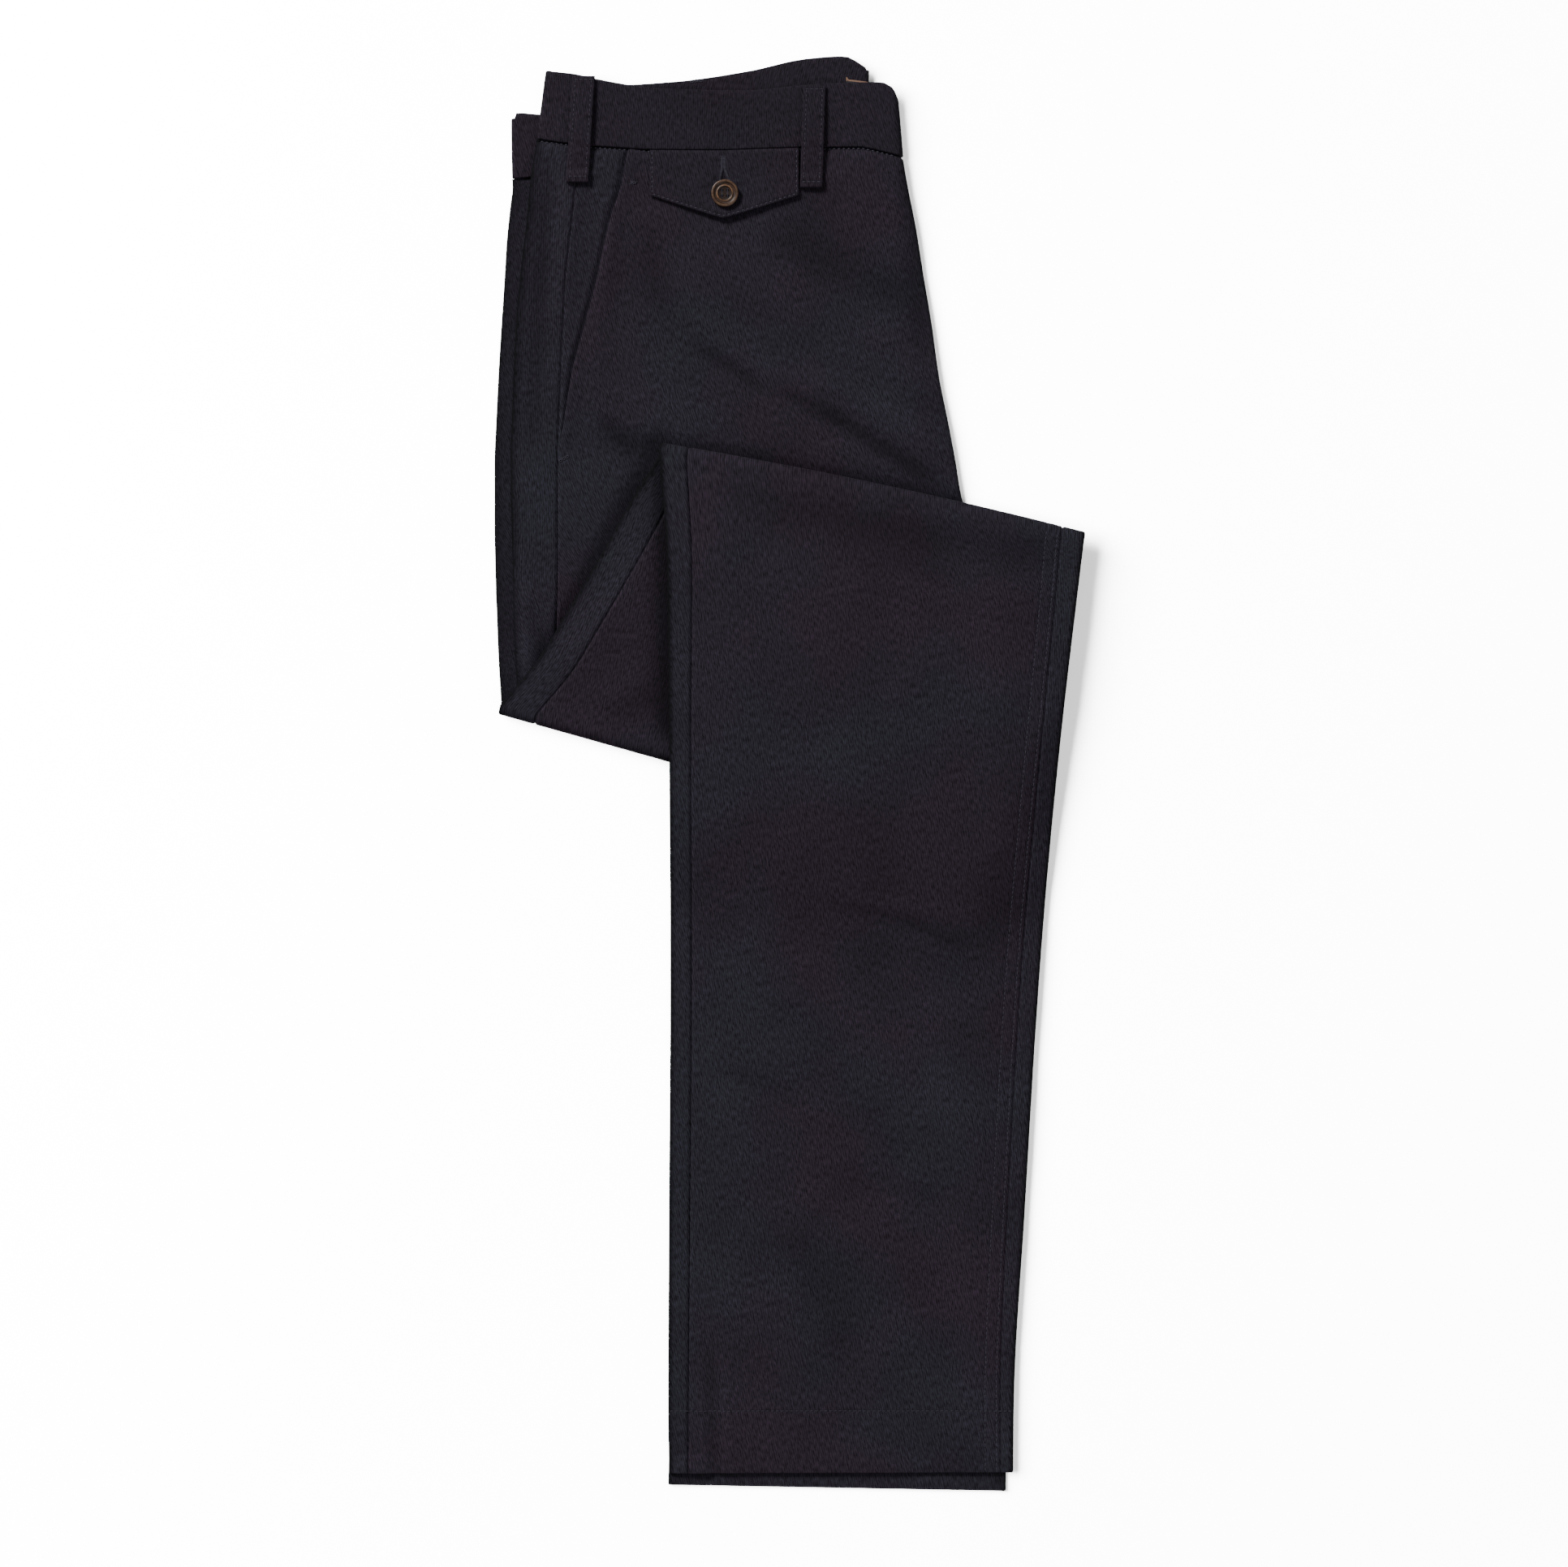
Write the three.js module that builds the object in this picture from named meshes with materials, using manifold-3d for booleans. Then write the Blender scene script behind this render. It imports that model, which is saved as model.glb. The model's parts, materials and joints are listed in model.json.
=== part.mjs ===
// Twill trousers folded for a shelf: the right half lies on the left half, with both centre
// seams on the right, and the legs are turned up once and back down once.
// Millimetres. X runs to the wearer's left, Y up to the waistband, Z up from the table.

import * as THREE from 'three';
import { mergeVertices } from 'three/addons/utils/BufferGeometryUtils.js';
import Module from 'manifold-3d';

const wasm = await Module();
wasm.setup();

// ---- Driving dimensions ----------------------------------------------------------------

const CLOTH = 1.0; // thickness of one ply of twill
const AIR = 0.35; // between plies that lie on each other
const SEAM_GAP = 0.3; // between two pieces that are sewn together
const PITCH = CLOTH + AIR;
const PILE = 4 * CLOTH + 3 * AIR; // four plies: left front, left back, right back, right front
const STOREY = PILE + AIR; // one stretch of the folded legs on the next
const TUCK = 30; // how far a back strip runs in under the pile
const BAND_PLY = 1.8; // the waistband is several plies thick
const BAND_PILE = 4 * BAND_PLY + 3 * AIR;
const WAIST_LIFT = 2.7; // the thick waistband holds the top plies up
const LIFT_FROM = 235; // and the lift has died away at this Y
const LIFT_TO = 345;
const POCKET_EDGE = 0.4; // the turned edge of the slanted pocket stands higher
const SLOPE_STEP = 30; // longest distance between two rows of points on the slopes
const FLAT_STEP = 60; // and where the shins lie flat
const FLAT_FROM = -90; // below this Y
const SIDE_BRIDGE = 12; // the cloth bridges this far past a lower edge
const SIDE_DROP = 44; // and then slopes down over this length
const FOLD_BRIDGE = 12; // the same past the lower fold
const FOLD_DROP = 70;
const TURN_ANGLES = [0, 36, 72, 108, 144, 180];
const CORE_ROOM = 2.5; // between the strips' ends and the solid layers
const SLOPE_STOP = 52; // distance of a line of points from the right edge, for the slopes there
const SEAM_STOP = 8; // distance of another from the inseam
const ACROSS = [0.25, 0.5, 0.75]; // lines of points across the middle of a row

const COLOURS = { twill: 0x252229, band: 0x242127, flap: 0x242025, button: 0x2b1a14, label: 0x9a7458 };

const rows = (columns, table) =>
  table.map((values) => Object.fromEntries(columns.map((column, i) => [column, values[i]])));

// One row for each level down the legs, from the waistband seam to the hem; its ends, x0 y0
// and x1 y1, lie on the right leg's folded edges. lie: waist and thigh lie lowest, back is
// turned up on them, and shin is on top. l0 is where the left leg's edge lies on the row, l1
// how far inside the row's right end, and drop0 and drop1 how much lower the left leg's row
// starts and ends. curl is 1 where the two fronts meet round the centre front. side and lside
// are the distances of the side seams from the left edges, front that of the right front's
// edge, at the pocket opening and then at the side seam, and inseam from the right edge.
const LEVELS = rows(
  ['name', 'lie', 'x0', 'y0', 'x1', 'y1', 'l0', 'l1', 'drop0', 'drop1', 'curl', 'side', 'front', 'lside', 'inseam', 'bow'],
  [
    ['band_seam', 'waist', -139.9, 352.2, 63.3, 342.6, -14.2, 0, -20.5, 0, 1, 23.5, 50.9, 22, 8, 0],
    ['pocket_top', 'waist', -143.3, 332.6, 65.5, 329.4, -11, 0, -10, 0, 1, 25.5, 51.1, 22, 8, 0],
    ['flap_low', 'waist', -146.0, 305.6, 70.7, 303.3, -10.8, 0, -4.7, 0, 1, 25.3, 45.9, 22, 8, 0],
    ['hip', 'waist', -149.2, 278.6, 74.9, 277.2, -9.2, 0, -2.4, 0, 1, 25.2, 43.3, 22, 8, 0],
    ['hip_low', 'waist', -151.7, 251.6, 79.4, 250.7, -8.3, 0, 0, 0, 1, 26.2, 38.7, 22, 8, 0],
    ['seat', 'waist', -153.2, 222.3, 83.5, 221.4, -8.6, 0, 0, 0, 1, 26.2, 32.4, 22, 8, 0],
    ['seat_low', 'waist', -154.1, 195.3, 88.9, 194.4, -9.0, 0, 0, 0, 1, 26.1, 28.8, 22, 8, 0],
    ['pocket_end', 'waist', -154.8, 174.6, 92.9, 172.8, -9.2, 0, 0, 0, 1, 26.1, 26.4, 22, 8, 0],
    ['rise_low', 'waist', -154.6, 154.8, 96.1, 153.9, -9.4, 0, 0, 0, 1, 25.6, 25.9, 22, 8, 0],
    ['fork', 'waist', -154.0, 128.8, 108.0, 127.9, -9.9, 0, 0, 0, 1, 25.0, 25.3, 22, 8, 0],
    ['crotch', 'thigh', -153.4, 103.5, 121.7, 101.0, -9.9, 0, 0, 0, 0, 24.4, 24.7, 22, 16, 0],
    ['thigh', 'thigh', -153.1, 85.0, 119.9, 73.8, -9.5, 0, 0, 0, 0, 23.6, 23.9, 22, 16, 0],
    ['lower_fold', 'turn', -151.9, 30.6, 97.9, -39.6, -10.1, 0, 0, 0, 0, 22.0, 22.3, 21, 15, 0],
    ['turned_up', 'back', -131.2, 68.9, 115.0, 5.9, -4.0, 2.0, 0, 0, 0, 20.0, 20.3, 20.7, 14, 0],
    ['under_knee', 'back', -89.3, 142.7, 147.4, 90.9, -3.0, 2.0, 0, 0, 0, 17.0, 17.3, 20.3, 13, 0],
    ['upper_fold', 'return', -70.7, 183.6, 164.0, 134.1, 1.2, 2.8, 0, 0, 0, 15.0, 15.3, 15, 13, 2.6],
    ['knee', 'shin', -67.5, 114.3, 160.0, 105.3, 1.0, 3.6, 0, 0, 0, 13.5, 13.8, 13, 12, 0],
    ['calf', 'shin', -66.4, 24.3, 150.5, 22.1, 1.2, 3.6, 0, 0, 0, 11.8, 12.1, 12, 10.6, 0],
    ['calf_low', 'shin', -66.1, -120.0, 138.4, -120.0, 1.1, 3.6, 0, 0, 0, 11.6, 11.9, 12, 10.2, 0],
    ['shin', 'shin', -66.8, -236.7, 131.2, -236.7, 1.3, 3.6, 0, 0, 0, 11.4, 11.7, 12, 9.6, 0],
    ['hem_stitch', 'shin', -67.3, -353.7, 124.7, -353.7, 0.7, 3.9, -4.5, -7.7, 0, 11.0, 11.3, 11, 7.5, 0],
    ['hem', 'shin', -66.8, -387.9, 124.4, -387.4, -0.5, 4.0, -6.8, -10.8, 0, 10.4, 10.7, 11, 7.0, 0],
  ],
);

// The waistband seam dips at the pocket and rises to the centre front: share of the width, mm.
const SEAM_WAVE = rows(
  ['at', 'rise'],
  [
    [0, 0],
    [0.1157, -2.2],
    [0.31, -3.0],
    [0.51, -1.3],
    [0.72, 2.2],
    [0.89, 4.2],
    [1, 0],
  ],
);

// Upper edges of the waistband: place along its seam as a share of the row, and the point.
const EDGE_COLUMNS = ['at', 'x', 'y'];
const BAND_EDGES = {
  right_front: rows(EDGE_COLUMNS, [
    [0, -135.2, 390.2],
    [0.08, -119.0, 388.4],
    [0.16, -106.5, 385.6],
    [0.31, -72.0, 380.4],
    [0.51, -26.0, 379.3],
    [0.72, 5.6, 382.0],
    [0.8, 20.5, 383.1],
    [0.95, 50.6, 383.9],
    [0.985, 57.4, 380.8],
    [1, 60.6, 374.8],
  ]),
  right_back: rows(EDGE_COLUMNS, [
    [0, -135.2, 390.2],
    [0.08, -119.0, 387.4],
    [0.21, -97.4, 382.6],
    [0.37, -65.0, 384.4],
    [0.57, -23.6, 390.2],
    [0.74, 10.1, 397.3],
    [0.84, 30.4, 398.7],
    [0.9, 44.6, 391.0],
  ]),
  left_front: rows(EDGE_COLUMNS, [
    [0, -154.6, 364.6],
    [0.1, -136.0, 366.5],
    [0.34, -77.6, 374.0],
    [0.51, -35.8, 377.0],
    [0.8, 20.5, 379.0],
    [0.95, 50.6, 381.0],
    [1, 60.6, 374.0],
  ]),
  left_back: rows(EDGE_COLUMNS, [
    [0, -154.6, 364.6],
    [0.02, -151.4, 367.6],
    [0.1, -136.0, 366.7],
    [0.34, -77.6, 377.0],
    [0.57, -23.6, 386.5],
    [0.74, 10.1, 394.0],
    [0.9, 43.0, 389.0],
  ]),
};
const CENTRE_BACK = 0.9; // where the back ends, as a share of the seam
const BACK_PEAK = 0.84; // where its upper edge is highest
const CORNER_STOP = 0.965; // where the front's upper edge starts to round down
const BACK_RISE = 14; // rise of the waistband's lower edge to the centre back
const BAND_EDGE_ROUND = 0.6;

const FLAP = { gap: 0.35, thickness: 1.4, left: -77.4, tip: -36.8, right: 5.4, corner_y: 320.7, tip_y: 307.6 };
const FLAP_TIP_LIFT = 0.5;
const BUTTON = { x: -35.7, y: 321.7, diameter: 15, thickness: 3.0, rim: 2.2, hole: 1.7, hole_circle: 4.4 };
const LOOP = { width: 12.6, thickness: 1.6, end_thickness: 2.6, end_length: 6 };
const LOOPS = rows(
  ['name', 'top_x', 'top_y', 'low_x', 'low_y'],
  [
    ['belt_loop_side', -113.9, 386.9, -117.4, 327.8],
    ['belt_loop_front', 14.0, 381.5, 12.2, 325.0],
  ],
);
// Height of a belt loop over what it crosses, along its length.
const LOOP_BOW = rows(
  ['at', 'rise'],
  [
    [0, 0.3],
    [0.12, 0.6],
    [0.3, 1.2],
    [0.55, 1.3],
    [0.68, 1.3],
    [0.82, 0.8],
    [0.9, 0.3],
    [1, 0.3],
  ],
);
const LABEL = { left: 31.5, right: 43.6, low_y: 384.6, top_y: 386.8, thickness: 0.8 };

// ---- Small helpers ---------------------------------------------------------------------

const mix = (a, b, t) => a + (b - a) * t;
const radians = THREE.MathUtils.degToRad;
const smooth = (t) => THREE.MathUtils.smoothstep(t, 0, 1);

// Value of a two-column table at a place between its rows.
function along(table, at, column = 'rise') {
  const next = table.findIndex((row) => row.at >= at);
  if (next === 0) return table[0][column];
  if (next < 0) return table[table.length - 1][column];
  const a = table[next - 1];
  const b = table[next];
  return mix(a[column], b[column], (at - a.at) / (b.at - a.at));
}

function mesh(name, positions, triangles, colour) {
  const geometry = new THREE.BufferGeometry();
  geometry.setAttribute('position', new THREE.Float32BufferAttribute(positions.flat(), 3));
  geometry.setIndex(triangles);
  const material = new THREE.MeshStandardMaterial({ color: colour, roughness: 0.9, metalness: 0 });
  const result = new THREE.Mesh(geometry, material);
  result.name = name;
  return result;
}

// Closed body through rings of equal length. ascending says where a ring runs to the right, so
// that every face on the same two rows is parted along the same diagonal.
function loft(name, rings, colour, capTriangles, ascending = []) {
  const size = rings[0].length;
  const triangles = [];
  for (let i = 0; i + 1 < rings.length; i++) {
    for (let j = 0; j < size; j++) {
      const a = i * size + j;
      const b = i * size + ((j + 1) % size);
      if (ascending[j]) triangles.push(a, b, b + size, a, b + size, a + size);
      else triangles.push(a, b, a + size, b, b + size, a + size);
    }
  }
  const last = (rings.length - 1) * size;
  for (const [a, b, c] of capTriangles) {
    triangles.push(a, c, b, last + a, last + b, last + c);
  }
  return mesh(name, rings.flat(), outward(rings.flat(), triangles), colour);
}

// Triangles turned so that their faces point out.
function outward(points, triangles) {
  let volume = 0;
  for (let i = 0; i < triangles.length; i += 3) {
    const [a, b, c] = [0, 1, 2].map((k) => new THREE.Vector3(...points[triangles[i + k]]));
    volume += a.dot(b.cross(c));
  }
  if (volume > 0) return triangles;
  const turned = [];
  for (let i = 0; i < triangles.length; i += 3) {
    turned.push(triangles[i], triangles[i + 2], triangles[i + 1]);
  }
  return turned;
}

// End of a wall: its outer line runs 0..n-1 round the ring and its inner line back.
function stripCap(count) {
  const cap = [];
  for (let i = 0; i + 1 < count; i++) {
    const inner = 2 * count - 1 - i;
    cap.push([i, i + 1, inner - 1], [i, inner - 1, inner]);
  }
  return cap;
}

const fanCap = (count) => Array.from({ length: count - 2 }, (_, i) => [0, i + 1, i + 2]);

// ---- The folded pile -------------------------------------------------------------------

const levelNamed = (name) => LEVELS.find((level) => level.name === name);
const LOWER_FOLD = levelNamed('lower_fold');
const UPPER_FOLD = levelNamed('upper_fold');

// Rows between the named levels, and the rows of each turn.
function buildRows() {
  const result = [];
  LEVELS.forEach((level, i) => {
    if (level.lie === 'turn' || level.lie === 'return') {
      for (const angle of TURN_ANGLES) result.push({ ...level, angle });
    } else {
      result.push({ ...level, angle: 0 });
    }
    const next = LEVELS[i + 1];
    if (!next) return;
    const reach = Math.max(
      Math.hypot(next.x0 - level.x0, next.y0 - level.y0),
      Math.hypot(next.x1 - level.x1, next.y1 - level.y1),
    );
    const steps = Math.ceil(reach / (level.y0 < FLAT_FROM ? FLAT_STEP : SLOPE_STEP));
    for (let k = 1; k < steps; k++) {
      const between = { name: `${level.name}_${k}`, angle: 0 };
      between.lie = { turn: 'back', return: 'shin' }[level.lie] ?? level.lie;
      for (const [column, value] of Object.entries(level)) {
        if (typeof value === 'number') between[column] = mix(value, next[column], k / steps);
      }
      result.push(between);
    }
  });
  return result;
}

// Signed distance of a point past the line from one point to another, to its right.
function pastLine(x, y, x0, y0, x1, y1) {
  return ((x - x0) * (y1 - y0) - (y - y0) * (x1 - x0)) / Math.hypot(x1 - x0, y1 - y0);
}

// Height of the table or the stretches below, under the shins: they slope down to the table
// past the lower fold and past the right edge of the turned-up stretch.
function shinGround(x, y) {
  const { x0, y0, x1, y1 } = LOWER_FOLD;
  const pastFold = pastLine(x, y, x0, y0, x1, y1) - FOLD_BRIDGE;
  const pastEdge = pastLine(x, y, x1, y1, UPPER_FOLD.x1, UPPER_FOLD.y1) - SIDE_BRIDGE;
  return 2 * STOREY * (1 - smooth(pastFold / FOLD_DROP)) * (1 - smooth(pastEdge / SIDE_DROP));
}

const liftAt = (y) => WAIST_LIFT * smooth((y - LIFT_FROM) / (LIFT_TO - LIFT_FROM));

// A row's start, width, direction and the way out over a fold, and the lines of points across
// it that every piece shares, with the height of what it lies on at each.
function measure(row) {
  const start = new THREE.Vector2(row.x0, row.y0);
  const run = new THREE.Vector2(row.x1, row.y1).sub(start);
  const width = run.length();
  run.normalize();
  const up = new THREE.Vector2(-run.y, run.x);
  const lift = row.lie === 'waist' ? liftAt((row.y0 + row.y1) / 2) : 0;
  const inner = TUCK + CORE_ROOM;
  const middle = ACROSS.map((share) => mix(inner, width - SLOPE_STOP, share));
  const stops = [0, row.side, inner, ...middle, width - SLOPE_STOP, width - inner, width - row.inseam, width];
  const ground = stops.map((at) => {
    const point = start.clone().addScaledVector(run, at);
    const heights = { back: STOREY, return: STOREY, shin: shinGround(point.x, point.y) };
    return { at, rise: heights[row.lie] ?? 0 };
  });
  return { ...row, start, run, width, up, lift, middle, ground };
}

// A point of the pile: u runs along the row from its left end, h through the plies from the
// left front's outer face to the right front's.
function place(row, leg, u, h) {
  const { start, width, run, up } = row;
  const share = THREE.MathUtils.clamp(u / width, 0, 1);
  const flat = start.clone().addScaledVector(run, u);
  flat.addScaledVector(up, 4 * row.bow * share * (1 - share));
  if (leg === 'r' && row.name === 'band_seam') flat.y += along(SEAM_WAVE, share);
  if (leg === 'l') flat.y += mix(row.drop0, row.drop1, u / width);
  const ground = along(row.ground, u);
  const turn = radians(row.angle);
  const reach = PILE + AIR / 2;
  if (row.lie === 'turn') {
    flat.addScaledVector(up, reach - (reach - h) * Math.sin(turn));
    return [flat.x, flat.y, reach - (reach - h) * Math.cos(turn)];
  }
  if (row.lie === 'return') {
    flat.addScaledVector(up, (h + AIR / 2) * Math.sin(turn) - reach);
    return [flat.x, flat.y, ground + reach - (h + AIR / 2) * Math.cos(turn)];
  }
  if (row.lie === 'back') return [flat.x, flat.y, ground + PILE - h];
  return [flat.x, flat.y, ground + h];
}

const ROWS = buildRows().map(measure);
const rowIndex = (name) => ROWS.findIndex((row) => row.name === name);
const LAST_ROW = rowIndex('hem_stitch');

// One piece of cloth over a run of rows; section gives a row's outer and inner line as [u, h].
function cloth(name, leg, from, to, section, colour = COLOURS.twill) {
  const rings = [];
  let lines = [];
  for (const row of ROWS.slice(from, to + 1)) {
    const { outer, inner } = section(row);
    lines = [...outer, ...inner.reverse()];
    rings.push(lines.map(([u, h]) => place(row, leg, u, h)));
  }
  const ascending = lines.map(([u], j) => lines[(j + 1) % lines.length][0] >= u);
  return loft(name, rings, colour, stripCap(lines.length / 2), ascending);
}

const rightFace = (row) => PILE + row.lift;

// Lines of a front panel: flat from its side edge, then round the centre front or flat on to
// the inseam. facing is 1 for the right front, whose outer face looks up, and -1 for the left.
function frontSection(row, facing) {
  const pile = rightFace(row);
  const face = facing > 0 ? pile : 0;
  const side = facing > 0 ? row.front : row.l0 + row.lside + SEAM_GAP;
  const raised = facing > 0 && row.front - row.side > 0.5 ? POCKET_EDGE : 0;
  const flatEnd = row.width - row.inseam - SEAM_GAP / 2;
  const inner = TUCK + CORE_ROOM;
  const radius = pile / 2;
  const curlEnd = row.width - radius;
  const lines = { outer: [], inner: [] };
  const add = (u, height) => {
    lines.outer.push([u, height]);
    lines.inner.push([u, face - facing * CLOTH]);
  };
  add(side, face + raised);
  add(side + 5, face + raised);
  for (const u of [Math.max(inner, side + 10), ...row.middle, row.width - SLOPE_STOP, row.width - inner]) add(u, face);
  const lastTurn = Math.asin(SEAM_GAP / radius);
  const flats = [flatEnd - SEAM_STOP, flatEnd - SEAM_GAP, flatEnd];
  for (const [k, flat] of flats.entries()) {
    const turn = mix(Math.PI / 2, lastTurn, k / 2);
    for (const [line, depth] of [
      [lines.outer, 0],
      [lines.inner, CLOTH],
    ]) {
      const round = curlEnd + (radius - depth) * Math.cos(turn);
      const height = radius + facing * (radius - depth) * Math.sin(turn);
      line.push([mix(flat, round, row.curl), mix(face - facing * depth, height, row.curl)]);
    }
  }
  return lines;
}

// Lines of a back strip round a folded edge: its lip lies beside the front panel, and its
// other leg runs in under the pile. face is the height of the lip's outer face.
function stripSection(edge, inward, lip, bounds, face, facing) {
  const radius = CLOTH + AIR / 2;
  const lines = { outer: [[lip, face]], inner: [[lip, face - facing * CLOTH]] };
  for (const degrees of [90, 30, -30, -90]) {
    const turn = radians(degrees);
    for (const [line, r] of [
      [lines.outer, radius],
      [lines.inner, AIR / 2],
    ]) {
      line.push([edge + inward * (radius - r * Math.cos(turn)), face - facing * (radius - r * Math.sin(turn))]);
    }
  }
  for (const u of bounds) {
    lines.outer.push([u, face - facing * 2 * radius]);
    lines.inner.push([u, face - facing * (2 * radius - CLOTH)]);
  }
  return lines;
}

function sideStrip(name, leg) {
  return cloth(name, leg, 0, LAST_ROW, (row) =>
    leg === 'r'
      ? stripSection(0, 1, row.side - SEAM_GAP / 2, [row.side, TUCK], rightFace(row), 1)
      : stripSection(row.l0, 1, row.l0 + row.lside, [row.side, TUCK], 0, -1),
  );
}

function inseamStrip(name, leg) {
  return cloth(name, leg, rowIndex('crotch'), LAST_ROW, (row) => {
    const seam = row.width - row.inseam;
    const edge = row.width - (leg === 'r' ? 0 : row.l1);
    const face = leg === 'r' ? rightFace(row) : 0;
    const bounds = [seam, seam - SEAM_STOP, row.width - TUCK];
    return stripSection(edge, -1, seam + SEAM_GAP / 2, bounds, face, leg === 'r' ? 1 : -1);
  });
}

// The hidden layers of both backs, as one rounded solid between the fronts.
function coreSection(row) {
  const thickened = row.lift / WAIST_LIFT;
  const low = mix(PITCH, BAND_PLY + AIR, thickened);
  const high = rightFace(row) - PITCH;
  const left = TUCK + CORE_ROOM;
  const right = row.width - mix(left, 7, row.curl);
  const flat = [left + 1, ...row.middle, row.width - SLOPE_STOP, right - 1];
  const rounded = (u, share) => [u, mix(low, high, share)];
  return {
    outer: [rounded(left, 0.65), ...flat.map((u) => [u, high]), rounded(right, 0.65)],
    inner: [rounded(left, 0.35), ...flat.map((u) => [u, low]), rounded(right, 0.35)],
  };
}

// The turned-up hem of one leg: a flattened tube from the hem's stitching to its edge.
function hem(name, leg) {
  const height = 2 * CLOTH + AIR;
  const base = leg === 'r' ? PILE - height : 0;
  const radius = height / 2;
  const top = { ...ROWS[LAST_ROW], y0: ROWS[LAST_ROW].y0 - SEAM_GAP, y1: ROWS[LAST_ROW].y1 - SEAM_GAP };
  const loops = [];
  let count = 0;
  for (const row of [measure(top), ROWS[LAST_ROW + 1], ROWS[ROWS.length - 1]]) {
    const edges = leg === 'r' ? [0, row.width] : [row.l0, row.width - row.l1];
    for (const r of [radius, AIR / 2]) {
      const loop = [];
      edges.forEach((edge, k) => {
        const inward = 1 - 2 * k;
        for (const degrees of [-90, -30, 30, 90]) {
          const turn = radians(degrees) * inward;
          loop.push([edge + inward * (radius - r * Math.cos(turn)), base + radius + r * Math.sin(turn)]);
        }
        for (const share of ACROSS) {
          const u = mix(edge + inward * radius, edges[1 - k] - inward * radius, share);
          loop.push([u, base + radius + inward * r]);
        }
      });
      loops.push(loop.map(([u, h]) => place(row, leg, u, h)));
      count = loop.length;
    }
  }
  return tube(name, loops, count);
}

// Wall between outer and inner loops, given in turn from row to row.
function tube(name, loops, count) {
  const points = loops.flat();
  const triangles = [];
  const last = loops.length / 2 - 1;
  const at = (row, inner, j) => (2 * row + inner) * count + (j % count);
  const quad = (a, b, c, d) => triangles.push(a, b, c, a, c, d);
  for (let j = 0; j < count; j++) {
    for (let i = 0; i < last; i++) {
      quad(at(i, 0, j), at(i, 0, j + 1), at(i + 1, 0, j + 1), at(i + 1, 0, j));
      quad(at(i, 1, j + 1), at(i, 1, j), at(i + 1, 1, j), at(i + 1, 1, j + 1));
    }
    quad(at(0, 0, j + 1), at(0, 0, j), at(0, 1, j), at(0, 1, j + 1));
    quad(at(last, 0, j), at(last, 0, j + 1), at(last, 1, j + 1), at(last, 1, j));
  }
  return mesh(name, points, outward(points, triangles), COLOURS.twill);
}

// ---- Waistband ---------------------------------------------------------------------------

// A station of the waistband: centre of its low and top edge, height, and the way it faces.
function bandStation(low, top, shift, z, degrees) {
  const turn = radians(degrees);
  const normal = [Math.cos(turn), Math.sin(turn)];
  const drop = [low[0] - top[0], low[1] - top[1]];
  const length = Math.hypot(...drop);
  const under = [top[0] + (drop[0] * BAND_EDGE_ROUND) / length, top[1] + (drop[1] * BAND_EDGE_ROUND) / length];
  const half = BAND_PLY / 2;
  const at = (point, side) => [point[0] + shift + normal[0] * side, point[1], z + normal[1] * side];
  return [at(low, half), at(under, half), at(top, 0), at(under, -half), at(low, -half)];
}

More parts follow.
